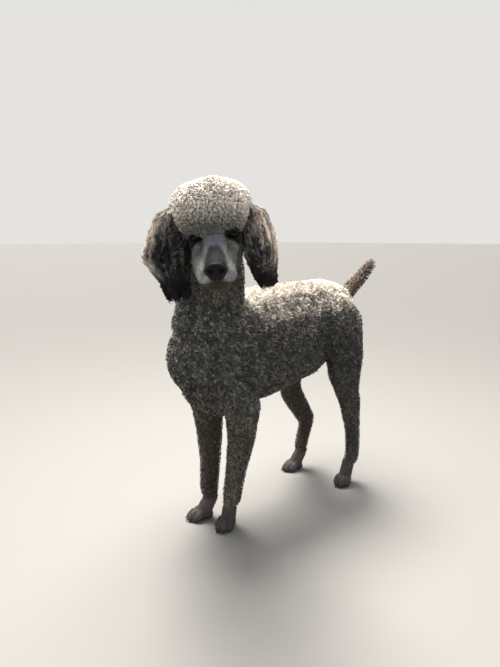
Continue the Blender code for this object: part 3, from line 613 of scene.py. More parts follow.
def paw_skin(place, turn, ankle):
    """A shaved foot with four toes; ankle is where the leg comes in, from the paw's centre."""
    shell = bmesh.new()
    muscle(shell, spot(*ankle, 0.0180, 0.0195, 0.016),
           spot(0.0, 0.006, 0.026, 0.0185, 0.021, 0.018), level=3)
    muscle(shell, spot(0.0, 0.012, 0.012, 0.0165, 0.018, 0.013),
           spot(0.0, 0.004, 0.018, 0.0180, 0.019, 0.016), level=3)
    for x, y, radius in TOES:
        muscle(shell, spot(x * 0.7, y * 0.4, 0.020, 0.0095, 0.012, 0.012),
               spot(x, y - 0.002, 0.0160, radius * 0.93, 0.0105, 0.0120),
               spot(x * 1.05, y - 0.010, 0.0098, radius * 0.86, 0.0092, 0.0100), level=3)
    paw = fused("paw", shell, PAW_VOXEL, 2)
    flat = mesh_object("paw", turned(shell_of(paw), paw_frame(place, turn)))
    box = bmesh.new()
    bmesh.ops.create_cube(box, size=0.4, matrix=Matrix.Translation((place.x, place.y, -0.2)))
    combine(flat, box)
    return shell_of(flat)


def paw_frame(place, turn):
    sunk = place - Vector((0.0, 0.0, SOLE_DEPTH))
    scale = Matrix.Diagonal((PAW_SIZE, PAW_SIZE, 1.0, 1.0))
    return Matrix.Translation(sunk) @ rotation(turn, "Z") @ scale


def paws():
    """The place, turn and ankle of each foot."""
    for side in SIDES:
        yield FRONT_PAW[side], FRONT_TURN[side], (0.0, ANKLE_BACK[side] - 0.002, 0.058)
        yield HIND_PAW[side], HIND_TURN[side], (0.0, 0.026, 0.058)


def open_eyes(head):
    """Hollows a socket behind each eye and opens the lids over it."""
    for s in SIDES.values():
        socket = ball(spot(0.0, 0.0, 0.0, EYE_RADIUS + 0.0003), level=4)
        combine(head, turned(socket, gaze(s)))
        opening = bmesh.new()
        hull(opening, *(spot(i * 0.0088, -EYE_RADIUS, 0.0004, 0.0030, 0.012, 0.0018) for i in (-1, 1)),
             spot(0.0, -EYE_RADIUS, 0.0004, 0.0074, 0.012, 0.0062), level=3)
        combine(head, turned(opening, gaze(s)))


def open_mouth(head):
    """The closed line of the lips and the groove below the nose."""
    corner = (
        (0.0370, -0.0130, -0.0430), (0.0345, -0.0500, -0.0475),
        (0.0315, -0.0850, -0.0495), (0.0170, -0.1120, -0.0500),
    )
    lips = [Vector(p) for p in corner] + [Vector((0.0, -0.1200, -0.0490))]
    lips += [Vector((-x, y, z)) for x, y, z in reversed(corner)]
    mouth = strand(lips, 0.0052, 0.0011, Vector((0.0, 0.0, 1.0)))
    combine(head, turned(mouth, head_frame()))
    cleft = [Vector((0.0, -0.1215, -0.036)), Vector((0.0, -0.1225, -0.050))]
    groove = strand(cleft, 0.0007, 0.0032, Vector((0.0, 1.0, 0.0)))
    combine(head, turned(groove, head_frame()))
    combine(head, nose_blank(0.0003))


def coordinates(obj):
    """An object's vertices and their normals, from the stance's own middle."""
    mesh = obj.data
    points = np.empty(len(mesh.vertices) * 3, np.float32)
    mesh.vertices.foreach_get("co", points)
    normals = np.empty(len(mesh.vertices) * 3, np.float32)
    mesh.vertex_normals.foreach_get("vector", normals)
    return points.reshape(-1, 3).astype(np.float64), normals.reshape(-1, 3).astype(np.float64)


def into(matrix, points):
    """Points carried into a frame's own coordinates."""
    back = np.array(matrix.inverted())
    return points @ back[:3, :3].T + back[:3, 3]


def out_of(matrix, points):
    there = np.array(matrix)
    return points @ there[:3, :3].T + there[:3, 3]


def ramp(low, high, values):
    """0 at low, 1 at high, smooth between."""
    part = np.clip((values - low) / (high - low), 0.0, 1.0)
    return part * part * (3.0 - 2.0 * part)


def line(values, middle, wide):
    """1 at a middle value, fading to 0 on both sides."""
    return np.exp(-((values - middle) / wide) ** 2)


def dab(values, centre, radii):
    """1 at a centre, fading to 0 all round."""
    return np.exp(-sum(((value - c) / r) ** 2 for value, c, r in zip(values, centre, radii)))


def towards(colour, other, share):
    return colour + (np.asarray(other) - colour) * share[:, None]


def from_eye(q):
    """Places in the head's frame, from the eye on their own side."""
    return q - np.column_stack([np.sign(q[:, 0]) * EYE_SPREAD, np.zeros((len(q), 2))])


def fold_face(head):
    """Draws the folds of lips, brows and cheeks into the head, and the hollow before each eye."""
    points, normals = coordinates(head)
    q = into(head_frame(), points)
    x, y, z = np.abs(q[:, 0]), q[:, 1], q[:, 2]
    push = -0.0018 * dab((x, y, z), (0.0200, -0.022, -0.004), (0.006, 0.016, 0.010))
    fold = line(z, -0.0330, 0.003) * ramp(0.012, 0.02, x)
    push -= 0.0010 * fold * ramp(-0.100, -0.080, y) * ramp(0.0, -0.03, y)
    push -= 0.0012 * line(x, 0.0, 0.0035) * ramp(-0.03, -0.005, y) * ramp(0.004, 0.012, z)
    push += 0.0012 * dab((x, y, z), (0.027, -0.100, -0.046), (0.005, 0.016, 0.005))
    for k in range(3):
        row = line(z + 0.05 * (y + 0.10), -0.0400 - 0.0028 * k, 0.0011)
        push += 0.00035 * row * ramp(-0.118, -0.100, y) * ramp(-0.060, -0.085, y) * ramp(0.016, 0.022, x)
    points += normals * push[:, None]
    head.data.vertices.foreach_set("co", points.astype(np.float32).ravel())
    head.data.update()


def put(obj, finish, slot, *nodes):
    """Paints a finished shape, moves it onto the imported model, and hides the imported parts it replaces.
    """
    obj.data.polygons.foreach_set("use_smooth", np.ones(len(obj.data.polygons), bool))
    obj.data.materials.clear()
    obj.data.materials.append(finish)
    obj.data.transform(Matrix.Translation(SHIFT))
    obj.data.update()
    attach(obj, "root")
    if nodes:
        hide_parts(*nodes)


# Markings, with painted light and shade


def patches(points, scale, seed):
    """Slow random light and dark, about 0 with a spread of 1; scale is a patch's size on each axis."""
    rng = np.random.default_rng(seed)
    ways = rng.normal(size=(3, 28)) / np.asarray(scale)[:, None]
    return np.cos(points @ ways + rng.uniform(0.0, 2.0 * np.pi, 28)).sum(axis=1) / math.sqrt(14.0)


def sunlit_back_share(points, normals):
    """1 where painted sunlight lies along the top of the back, 0 on chest, flanks and legs."""
    x, y, z = points.T
    streak = 0.09 * patches(points, (0.010, 0.010, 0.050), 8)
    streak += 0.20 * patches(points, (0.003, 0.003, 0.012), 14)
    return ramp(-0.10, 0.90, normals[:, 2] + streak) * ramp(0.42, 0.56, z) * ramp(-0.25, -0.10, y)


def coat_colour(points, normals):
    """The coat's colour at places on trunk, neck, legs and tail; skin and curls share it. It holds painted
    sunlight along the back and painted shade underneath, inside the legs and towards the hindquarters.
    """
    c = colours()
    x, y, z = points.T
    colour = np.tile(np.array(c.flank), (len(points), 1))
    # Painted shade: the trunk's coat darkens towards the hindquarters.
    colour *= (1.0 - 0.40 * ramp(0.00, 0.16, y) * ramp(0.56, 0.44, z))[:, None]
    # Painted sunlight: coat facing up along the back turns pale cream.
    colour = towards(colour, c.back, sunlit_back_share(points, normals))
    # Painted shade: coat facing down under the trunk takes the dark underside colour.
    under = ramp(-0.2, -0.9, normals[:, 2]) * ramp(0.52, 0.45, z)
    colour = towards(colour, c.underside_shade, 0.6 * under)
    # Painted shade: the legs' coat darkens towards the hind legs.
    leg = np.array(c.leg) * (1.0 - 0.28 * ramp(0.04, 0.16, y))[:, None]
    colour = towards(colour, leg, ramp(0.36, 0.26, z))
    # Painted shade: the insides of the legs take the dark underside colour.
    inner_leg_shade = ramp(0.2, -0.7, normals[:, 0] * np.sign(x)) * ramp(0.36, 0.28, z)
    colour = towards(colour, c.underside_shade, 0.75 * inner_leg_shade)
    q = into(head_frame(), points)
    near = np.linalg.norm(q - np.array((0.0, 0.03, -0.075)), axis=1)
    colour = towards(colour, c.throat, ramp(0.13, 0.05, near) * ramp(0.0, -0.04, q[:, 2]))
    # The tail's own colour is the underside colour made one and a half times as bright.
    tail = ramp(0.245, 0.285, y) * ramp(0.50, 0.535, z)
    colour = towards(colour, np.array(c.underside_shade) * 1.5, 0.92 * tail)
    cloud = 1.0 + 0.07 * patches(points, (0.05, 0.05, 0.05), 3)
    cloud += 0.06 * patches(points, (0.012, 0.012, 0.05), 4)
    cloud += 0.10 * patches(points, (0.0035, 0.0035, 0.016), 15)
    return colour * cloud[:, None]


def face_colour(points, normals):
    """The shaved face's markings, with painted shade round the eyes and towards the back of the head, in
    the head's own frame.
    """
    c = colours()
    q = into(head_frame(), points)
    x, y, z = np.abs(q[:, 0]), q[:, 1], q[:, 2]
    up = into(head_frame(), points + normals) - q
    colour = np.tile(np.array(c.face), (len(points), 1))
    x = x + 0.0013 * patches(q, (0.006, 0.008, 0.006), 11)
    wide = 0.0125 + 0.0080 * ramp(-0.056, -0.108, y)
    top = ramp(0.05, 0.40, up[:, 2])
    stop = ramp(0.0225, 0.0135, x) * ramp(0.004, -0.008, y) * ramp(-0.085, -0.062, y) * top
    colour = towards(colour, c.stop, 0.9 * stop)
    stripe = line(x, wide + 0.0062, 0.0040)
    stripe *= ramp(-0.020, -0.050, y) * ramp(-0.040, -0.020, z)
    colour = towards(colour, c.stripe, 0.95 * stripe)
    colour = towards(colour, c.stripe, 0.75 * ramp(-0.075, -0.105, y) * ramp(-0.050, -0.038, z))
    bare = ramp(wide + 0.0042, wide - 0.0042, x) * ramp(-0.052, -0.068, y) * ramp(-0.05, 0.20, up[:, 2])
    bare = bare * ramp(-0.033, -0.025, z)
    colour = towards(colour, c.bridge, 0.97 * bare)
    colour = towards(colour, c.nose, 0.45 * bare * ramp(-0.090, -0.114, y))
    eye = np.linalg.norm(from_eye(q) * np.array((0.85, 1.0, 1.05)), axis=1)
    # Painted shade: the lip colour darkens a wide ring round each eye, for shade under the fringe.
    colour = towards(colour, c.lip, 0.85 * ramp(0.0245, 0.0165, eye) * ramp(0.030, 0.010, y))
    tear = line(x, 0.0225 + 0.25 * (z + 0.006), 0.0050) * ramp(-0.042, -0.012, z)
    colour = towards(colour, c.lip, 0.60 * tear * ramp(0.004, -0.006, z) * ramp(-0.050, -0.030, y))
    # Dark rims round the eyes, partly dark skin and partly painted shade under the fringe.
    colour = towards(colour, c.eye_rim_and_shade, ramp(0.0285, 0.0200, eye) * ramp(0.022, 0.008, y))
    chin = ramp(-0.0485, -0.0530, z) * ramp(-0.06, -0.09, y) * ramp(0.026, 0.016, x)
    colour = towards(colour, c.chin, 0.9 * chin)
    colour = towards(colour, np.array(c.throat) * 0.9, 0.8 * chin * ramp(-0.0600, -0.0655, z))
    upper = ramp(-0.036, -0.044, z) * ramp(-0.095, -0.110, y) * ramp(0.024, 0.008, x)
    colour = towards(colour, c.chin, 0.85 * upper)
    colour = towards(colour, c.lip, 0.80 * line(z, -0.0485, 0.0024) * ramp(0.0, -0.02, y))
    # The dark eye-rim colour also marks each corner of the mouth.
    corner = dab((x, y, z), (0.032, -0.064, -0.0455), (0.006, 0.010, 0.0045))
    colour = towards(colour, c.eye_rim_and_shade, 0.8 * corner)
    philtrum = ramp(0.0060, 0.0020, x) * ramp(-0.115, -0.119, y) * ramp(-0.030, -0.034, z)
    colour = towards(colour, c.lip, 0.7 * philtrum)
    # Painted shade: the face darkens towards the back of the head, under the topknot and ears.
    colour = towards(colour, np.array(c.face) * 0.55, 0.8 * ramp(-0.020, 0.035, y))
    cloud = 1.0 + 0.06 * patches(points, (0.010, 0.010, 0.010), 5)
    cloud += 0.05 * patches(points, (0.003, 0.003, 0.004), 6)
    return colour * cloud[:, None]


def bare_share(points):
    """1 on the shaved face and throat, 0 where the neck's coat is full."""
    q = into(head_frame(), points)
    ahead = ramp(0.075, 0.030, q[:, 1] + 0.35 * (q[:, 2] + 0.02))
    below = np.linalg.norm((q - np.array((0.0, 0.02, -0.06))) * np.array((1.0, 1.0, 0.9)), axis=1)
    return np.maximum(ahead * ramp(-0.115, -0.085, q[:, 2]), 0.85 * ramp(0.085, 0.050, below))


def ear_colour(points, side):
    """Dark hair that turns pale along the ear's outer and upper edge, as painted rim light and sunlight,
    and black at its tips.
    """
    c = colours()
    q = into(hanging_frame(), points)
    x, z = np.abs(q[:, 0]), q[:, 2]
    colour = np.tile(np.array(c.ear_dark), (len(points), 1))
    outer = np.interp(-z, *EAR_OUTER[side])
    ragged = 0.0050 * patches(q, (0.003, 0.003, 0.012), 12)
    # Painted rim light: the hair turns pale along the ear's outer edge.
    edge = ramp(-0.018, -0.002, x - outer + ragged + EAR_INWARD[side]) * ramp(-0.088, -0.045, z)
    colour = towards(colour, c.ear_rim_light, 0.9 * edge)
    # Painted sunlight: the hair turns pale along the ear's upper edge.
    if side == "right":
        upper = ramp(0.008, 0.032, z + 0.5 * (x - 0.095))
    else:
        upper = ramp(-0.012, 0.024, z) * ramp(0.066, 0.080, x)
    mottled = np.clip(1.0 + 0.5 * patches(q, (0.003, 0.003, 0.008), 13), 0.0, 1.0)
    colour = towards(colour, c.ear_rim_light, 0.80 * upper * mottled * (1.0 - edge))
    return towards(colour, c.ear_tip, 0.93 * ramp(*EAR_TIP[side], z))


def topknot_colour(points):
    """Cream on the crown, greyer towards the brow: the crown's brightness is partly painted sunlight and
    the brow's grey partly painted shade.
    """
    c = colours()
    q = into(hanging_frame(), points)
    low = ramp(0.052, 0.004, q[:, 2] + 0.35 * q[:, 1])
    return towards(np.tile(np.array(c.topknot_top), (len(points), 1)), c.topknot_low, low)


def store(obj, name, kind, values):
    """Keeps a value for each vertex as a named attribute."""
    made = obj.data.attributes.new(name, kind, "POINT")
    if kind == "FLOAT_COLOR":
        rgba = np.ones((len(values), 4), np.float32)
        rgba[:, :3] = np.clip(values, 0.0, 1.0)
        made.data.foreach_set("color", rgba.ravel())
    else:
        made.data.foreach_set("value", np.asarray(values, np.float32).ravel())


def skin_colour(points, normals):
    """Coat markings under the coat, darkened as painted shade below the hair, and the face's on the face,
    and how bare each place is.
    """
    # Painted shade: skin under the coat is darker than the curls over it.
    colour = coat_colour(points, normals) * 0.62
    bare = bare_share(points)
    colour = towards(colour, face_colour(points, normals), bare)
    q = into(hanging_frame(), points)
    # Painted shade: skin under the topknot and the ears is darker than their hair.
    crown = ramp(0.012, 0.022, q[:, 2] + 0.25 * q[:, 1]) * ramp(0.09, 0.07, np.abs(q[:, 0]))
    colour = towards(colour, topknot_colour(points) * 0.6, crown)
    for side, s in SIDES.items():
        near = ramp(0.050, 0.062, s * q[:, 0]) * ramp(-0.16, -0.13, q[:, 2]) * ramp(0.10, 0.09, q[:, 1])
        colour = towards(colour, ear_colour(points, side) * 0.5, near)
    foot = ramp(PAW_TOP + 0.006, PAW_TOP - 0.004, points[:, 2])
    pink = ramp(0.02, -0.02, points[:, 0]) * 0.25
    toes = towards(np.tile(np.array(colours().toes), (len(points), 1)), PINK_TOE, pink)
    # Painted shade: the toes darken towards the floor.
    toes *= (0.50 + 0.50 * ramp(0.004, 0.016, points[:, 2]))[:, None]
    return towards(colour, toes, foot), np.maximum(bare, foot)


def mark_skin(skin):
    """Stores the markings, with their painted light and shade, on the skin itself."""
    points, normals = coordinates(skin)
    colour, bare = skin_colour(points, normals)
    store(skin, "marking", "FLOAT_COLOR", colour)
    store(skin, "bare", "FLOAT", bare)


# Materials


class Wire:
    """A socket in a material, so that sums on it add their own Math nodes."""

    def __init__(self, paint, socket):
        self.paint = paint
        self.socket = socket

    def sum_of(self, operation, first, second):
        return self.paint.node("ShaderNodeMath", {"operation": operation}, (first, second))

    def __add__(self, other):
        return self.sum_of("ADD", self, other)

    __radd__ = __add__

    def __sub__(self, other):
        return self.sum_of("SUBTRACT", self, other)

    def __rsub__(self, other):
        return self.sum_of("SUBTRACT", other, self)

    def __mul__(self, other):
        return self.sum_of("MULTIPLY", self, other)

    __rmul__ = __mul__

    def at_least(self, other):
        return self.sum_of("MAXIMUM", self, other)


class Paint:
    """One material under construction."""

    def __init__(self, name):
        self.material = bpy.data.materials.new(name)
        self.material.use_nodes = True
        self.tree = self.material.node_tree
        self.shader = self.tree.nodes["Principled BSDF"]

    def node(self, kind, settings=None, values=(), out=0):
        """Adds a node, sets it up, fills its sockets and gives back one of its outputs."""
        made = self.tree.nodes.new(kind)
        for key, value in (settings or {}).items():
            if key == "stops":
                while len(made.color_ramp.elements) < len(value):
                    made.color_ramp.elements.new(0.5)
                for stop, (place, colour) in zip(made.color_ramp.elements, value):
                    stop.position = place
                    stop.color = (*colour, 1.0)
            else:
                setattr(made, key, value)
        for key, value in (values.items() if isinstance(values, dict) else enumerate(values)):
            self.fill(made.inputs[key], value)
        return Wire(self, made.outputs[out])

    def fill(self, socket, value):
        if isinstance(value, Wire):
            self.tree.links.new(value.socket, socket)
        else:
            socket.default_value = value

    def attribute(self, name, out="Fac"):
        return self.node("ShaderNodeAttribute", {"attribute_name": name}, out=out)

    def noise(self, scale, detail=3.0, rough=0.55, stretch=(1.0, 1.0, 1.0)):
        place = self.node("ShaderNodeTexCoord", out="Object")
        place = self.node("ShaderNodeMapping", {}, {"Vector": place, "Scale": stretch})
        return self.node("ShaderNodeTexNoise", {},
                         {"Vector": place, "Scale": scale, "Detail": detail, "Roughness": rough})

    def cells(self, scale):
        place = self.node("ShaderNodeTexCoord", out="Object")
        return self.node("ShaderNodeTexVoronoi", {"feature": "SMOOTH_F1"},
                         {"Vector": place, "Scale": scale, "Smoothness": 0.6}, out="Distance")

    def clouded(self, share, colour, gain, lift=0.0):
        """Mixes a colour with a paler one made from it."""
        pale = [min(1.0, gain * part + lift) for part in colour]
        return self.node("ShaderNodeMix", {"data_type": "RGBA"},
                         {0: share, 6: (*colour, 1.0), 7: (*pale, 1.0)}, out=2)

    def shade(self, colour, amount):
        """Multiplies a colour by a number that varies."""
        grey = self.node("ShaderNodeCombineXYZ", {}, (amount, amount, amount))
        return self.node("ShaderNodeVectorMath", {"operation": "MULTIPLY"}, (colour, grey))

    def finish(self, colour, roughness, bump=None, depth=0.001, **constants):
        """Links what varies, sets what doesn't, and gives back the material."""
        self.fill(self.shader.inputs["Base Color"], colour)
        self.fill(self.shader.inputs["Roughness"], roughness)
        if bump is not None:
            lift = self.node("ShaderNodeBump", {}, {"Height": bump, "Distance": depth, "Strength": 1.0},
                             out="Normal")
            self.fill(self.shader.inputs["Normal"], lift)
        for key, value in constants.items():
            self.shader.inputs[key.replace("_", " ")].default_value = value
        return self.material


def skin_finish():
    """Short clipped hair over skin on the face, and matted undercoat below the curls, with painted shade
    between painted curls.
    """
    paint = Paint("clipped skin")
    marking = paint.attribute("marking", "Color")
    bare = paint.attribute("bare")
    blotch = paint.noise(34.0, 3.0)
    grain = paint.noise(420.0, 2.0, 0.6)
    curls = paint.cells(150.0)
    # Painted shade: under the coat each cell is lighter in its middle and darker towards its edges, as
    # round curls with shade between them.
    tone = 0.70 + 0.34 * blotch + (0.74 * grain - 0.26) + (1.0 - bare) * (0.30 - 0.9 * curls)
    colour = paint.shade(marking, tone)
    height = bare * (0.25 * grain) + (1.0 - bare) * (1.0 - curls)
    return paint.finish(colour, 0.58 + 0.28 * grain, height, 0.0016, Specular_IOR_Level=0.14)


def curl_finish(name, low, spread, gloss=0.62, sheen=0.20, shine=0.50):
    """Tufts of hair: low is how dark the painted shade at the root is, and spread how far one tuft's tone
    is from another's.
    """
    paint = Paint(name)
    marking = paint.attribute("marking", "Color")
    along = paint.attribute("along")
    tone = paint.attribute("tone")
    wisps = paint.noise(900.0, 2.0, 0.6)
    between = ((1.0 - 0.5 * spread) + spread * tone).at_least(0.06)
    # Painted shade: each tuft darkens from its tip towards its root, where the curls shade each other.
    level = (low + (1.15 - low) * along) * between * (0.80 + 0.40 * wisps)
    colour = paint.shade(marking, level)
    return paint.finish(colour, gloss + 0.25 * wisps, wisps, 0.0003, Sheen_Weight=sheen,
                        Sheen_Roughness=0.4, Specular_IOR_Level=shine)


def leather_finish():
    paint = Paint("nose leather")
    pebbles = paint.cells(1100.0)
    cloud = paint.noise(160.0, 3.0)
    colour = paint.clouded(cloud, colours().nose, 1.8, 0.004)
    return paint.finish(colour, 0.40 + 0.25 * cloud, 1.0 - pebbles, 0.00035, Specular_IOR_Level=0.13)


def eye_finish():
    paint = Paint("eye")
    front = paint.attribute("front")
    fleck = paint.noise(900.0, 3.0)
    iris = paint.node("ShaderNodeValToRGB", {"stops": (
        (0.0, (0.040, 0.032, 0.030)), (0.58, (0.028, 0.020, 0.018)), (0.64, (0.006, 0.004, 0.003)),
        (0.74, (0.013, 0.007, 0.004)), (0.85, (0.009, 0.005, 0.003)), (0.90, (0.002, 0.002, 0.002)),
    )}, (front,))
    colour = paint.shade(iris, 0.75 + 0.5 * fleck)
    return paint.finish(colour, 0.12 + 0.05 * fleck, Coat_Weight=0.04, Coat_Roughness=0.03,
                        Specular_IOR_Level=0.14)


def claw_finish():
    paint = Paint("claw")
    grain = paint.noise(300.0, 3.0, 0.6, (1.0, 1.0, 0.25))
    colour = paint.clouded(grain, colours().claw, 2.4, 0.02)
    return paint.finish(colour, 0.30 + 0.25 * grain, grain, 0.0002)


def floor_finish():
    paint = Paint("studio floor")
    cloud = paint.noise(1.4, 4.0)
    return paint.finish(paint.clouded(cloud, colours().floor, 1.06), 0.60 + 0.15 * cloud)


# Tufts


def unit(vectors):
    return vectors / np.maximum(np.linalg.norm(vectors, axis=-1, keepdims=True), 1e-9)


def one_in_each_cell(points, cell, start):
    """The point nearest the middle of each cell that holds any; start is the model's place in the grid."""
    place = points / cell + start
    key = np.floor(place).astype(np.int64)
    order = np.argsort(np.linalg.norm(place - key - 0.5, axis=1))
    _, first = np.unique(key[order] @ np.array((1, GRID, GRID ** 2)), return_index=True)
    return order[first]


def sow(obj, cell, rng, moved=(0.0, 0.0, 0.0)):
    """Roots spread evenly over an object, about one for each cell that it crosses, and their normals;
    moved is how far it stands from the stance's own middle."""
    points, normals = coordinates(obj)
    points = points - np.array(moved)
    mesh = obj.data
    mesh.calc_loop_triangles()
    corners = np.empty(len(mesh.loop_triangles) * 3, np.int32)
    mesh.loop_triangles.foreach_get("vertices", corners)
    corners = corners.reshape(-1, 3)
    a, b, c = (points[corners[:, i]] for i in range(3))
    area = 0.5 * np.linalg.norm(np.cross(b - a, c - a), axis=1)
    count = int(area.sum() / cell ** 2 * TRIED)
    pick = rng.choice(len(area), count, p=area / area.sum())
    u, v = np.sqrt(rng.random((count, 1))), rng.random((count, 1))
    shares = (1 - u), u * (1 - v), u * v
    spots = a[pick] * shares[0] + b[pick] * shares[1] + c[pick] * shares[2]
    ways = sum(normals[corners[pick, i]] * shares[i] for i in range(3))
    kept = one_in_each_cell(spots, cell, ROOT_START)
    return spots[kept], unit(ways)[kept]


def laid(normals, lie):
    """The lie of the coat, flat on the skin."""
    return unit(lie - normals * np.sum(lie * normals, axis=1, keepdims=True))


def gathered(roots, normals, lies, spacing):
    """Which curl each root belongs to, and the curls' own roots, normals and lies."""
    heads = one_in_each_cell(roots, spacing, CURL_START)
    tree = KDTree(len(heads))
    for i, head in enumerate(heads):
        tree.insert(roots[head], i)
    tree.balance()
    own = np.array([tree.find(root)[1] for root in roots])
    return own, roots[heads], normals[heads], lies[heads]


def curl_paths(roots, normals, lies, size, full, rng):
    """Centre lines of tufts that rise, wind together into curls and bend over along the lie."""
    own, bases, ups, ways = gathered(roots, normals, lies, size["curl"])
    many = len(bases)
    spin = rng.normal(0.0, size.get("stray", CURL_STRAY), (many, 1))
    ways = ways * np.cos(spin) + np.cross(ups, ways) * np.sin(spin)
    along = unit(0.75 * ways[own] + 0.25 * lies)
    up = unit(0.6 * ups[own] + 0.4 * normals)
    side = unit(np.cross(up, along))
    over = np.cross(side, up)
    part = np.linspace(0.0, 1.0, size["steps"])[None, :, None]
    hand = np.where(rng.random(many) < 0.5, -1.0, 1.0)[own][:, None, None]
    phase = (rng.uniform(0.0, 2.0 * np.pi, many)[own] + rng.normal(0.0, 0.45, len(roots)))[:, None, None]
    turns = (size["turns"] * rng.uniform(0.8, 1.25, many)[own])[:, None, None]
    turn = phase + hand * 2.0 * np.pi * turns * part
    scale = (rng.uniform(0.88, 1.10, many)[own] * rng.uniform(0.92, 1.08, len(roots)) * full)[:, None, None]
    rise = size["rise"] * scale * np.sin(part * 0.74 * np.pi) - CURL_SUNK
    drift = size["drift"] * scale * part ** 1.6
    reach = size["loop"] * scale * np.minimum(1.0, part * 2.5)
    drawn = size["draw"] * np.minimum(1.0, 1.6 * part)
    path = roots[:, None, :] + (bases[own] - roots)[:, None, :] * drawn
    path = path + up[:, None, :] * rise + along[:, None, :] * drift
    path = path + side[:, None, :] * np.cos(turn) * reach + over[:, None, :] * np.sin(turn) * reach
    tone = 0.6 * rng.random(many)[own] ** 1.8 + 0.4 * rng.random(len(roots)) ** 1.6
    return path, tone


def tuft_mesh(name, paths, widths, depths, faces, charts, colour, tone, calm=None):
    """Closed three-sided tufts along paths, joined in one mesh, each on a patch of the OFBake map; colour
    is one for each tuft or for each step of it, and calm is how even a tuft's tone and painted root shade
    are."""
    count, steps, _ = paths.shape
    rings = steps - 1
    way = unit(np.gradient(paths, axis=1))
    side = unit(np.cross(way, faces[:, None, :]) + 1e-6)
    over = np.cross(side, way)
    verts = np.empty((count, rings * 3 + 1, 3), np.float32)
    for k, turn in enumerate((0.5 * np.pi, 0.5 * np.pi + 2.0 * np.pi / 3, 0.5 * np.pi + 4.0 * np.pi / 3)):
        spread = side * (math.cos(turn) * widths[:, :, None]) + over * (math.sin(turn) * depths[:, :, None])
        verts[:, k:rings * 3:3] = (paths + spread)[:, :rings]
    verts[:, -1] = paths[:, -1]
    per = rings * 3 + 1
    quads = [(r * 3 + k, r * 3 + (k + 1) % 3, r * 3 + 3 + (k + 1) % 3, r * 3 + 3 + k)
             for r in range(rings - 1) for k in range(3)]
    tips = [(rings * 3 - 3 + k, rings * 3 - 3 + (k + 1) % 3, rings * 3) for k in range(3)] + [(2, 1, 0)]
    loops = np.array([i for face in quads + tips for i in face], np.int32)
    sides = np.array([len(face) for face in quads + tips], np.int32)
    every = (loops[None, :] + (np.arange(count, dtype=np.int32) * per)[:, None]).ravel()
    totals = np.tile(sides, count)
    mesh = bpy.data.meshes.new(name)
    mesh.vertices.add(count * per)
    mesh.vertices.foreach_set("co", verts.ravel())
    mesh.loops.add(len(every))
    mesh.loops.foreach_set("vertex_index", every)
    mesh.polygons.add(len(totals))
    mesh.polygons.foreach_set("loop_start", np.concatenate([[0], np.cumsum(totals)[:-1]]).astype(np.int32))
    mesh.update(calc_edges=True)
    ring = np.append(np.arange(rings * 3) // 3, rings) / rings
    bearing = np.append(np.arange(rings * 3) % 3, 1) / 3.0
    patch = MAP_PATCH * np.column_stack([bearing - 0.33, ring - 0.5])
    bake = mesh.uv_layers.new(name="OFBake")
    bake.data.foreach_set("uv", (charts[:, None, :] + patch[loops][None]).astype(np.float32).ravel())
    obj = bpy.data.objects.new(name, mesh)
    bpy.context.scene.collection.objects.link(obj)
    colour = np.broadcast_to(colour if colour.ndim == 3 else colour[:, None], (count, steps, 3))
    shades = np.concatenate([np.repeat(colour[:, :rings], 3, axis=1), colour[:, -1:]], axis=1)
    store(obj, "marking", "FLOAT_COLOR", shades.reshape(-1, 3))
    calm = np.zeros(count) if calm is None else calm
    # Along runs from root to tip and sets the painted shade at the root, less where calm.
    store(obj, "along", "FLOAT", 1.0 - (1.0 - ring[None, :]) * (1.0 - 0.85 * calm[:, None]))
    store(obj, "tone", "FLOAT", np.repeat(tone + (0.56 - tone) * 0.72 * calm, per))
    return obj


def profile(count, steps, width, rng):
    """Half widths along tufts: full to the middle, then tapering."""
    part = np.linspace(0.0, 1.0, steps)
    shape = np.minimum(1.0, 0.75 + part) * np.clip((1.0 - part) * 3.0, 0.0, 1.0) ** 0.6
    return width * rng.uniform(0.8, 1.25, (count, 1)) * shape[None, :]


def grow_curls(name, roots, normals, lies, size, full, charts, colour, rng, calm=None):
    """Tufts wound into curls over some roots; full is the share of the whole length at each."""
    paths, tone = curl_paths(roots, normals, lies, size, full, rng)
    widths = profile(len(roots), size["steps"], size["width"] * COARSE, rng)
    return tuft_mesh(name, paths, widths, widths * 0.7, normals, charts, colour, tone, calm)


def charted(bearing, rise):
    """Places on a map with a thin margin: the bearing across, the rise up."""
    return 0.01 + 0.98 * np.clip(np.column_stack([bearing / (2 * np.pi), rise]), 0.0, 1.0)


def chart_round(points, axes, middle, span):
    """An unwrap round a straight axis: the bearing from the first of axes to the second across, and the
    way along the third up."""
    first, second, along = axes
    bearing = np.arctan2(points[:, second] - middle[1], points[:, first] - middle[0])
    return charted(bearing + np.pi, (points[:, along] - span[0]) / (span[1] - span[0]))


def chart_leg(points, chain):
    """An unwrap round a leg, whose middle shifts with height."""
    centres = sorted((tuple(centre) for centre, _ in chain), key=lambda centre: centre[2])
    x, y, height = zip(*centres)
    bearing = np.arctan2(points[:, 1] - np.interp(points[:, 2], height, y),
                         points[:, 0] - np.interp(points[:, 2], height, x))
    return charted(bearing + np.pi, (points[:, 2] - 0.04) / 0.42)


def chart_head(points):
    """An unwrap of the head round its crown."""
    q = unit(into(hanging_frame(), points) - np.array((0.0, 0.055, 0.0)))
    fall = np.arccos(np.clip(q[:, 2], -1.0, 1.0)) / np.pi
    return charted(np.arctan2(q[:, 0], -q[:, 1]) + np.pi, fall)


# Pieces


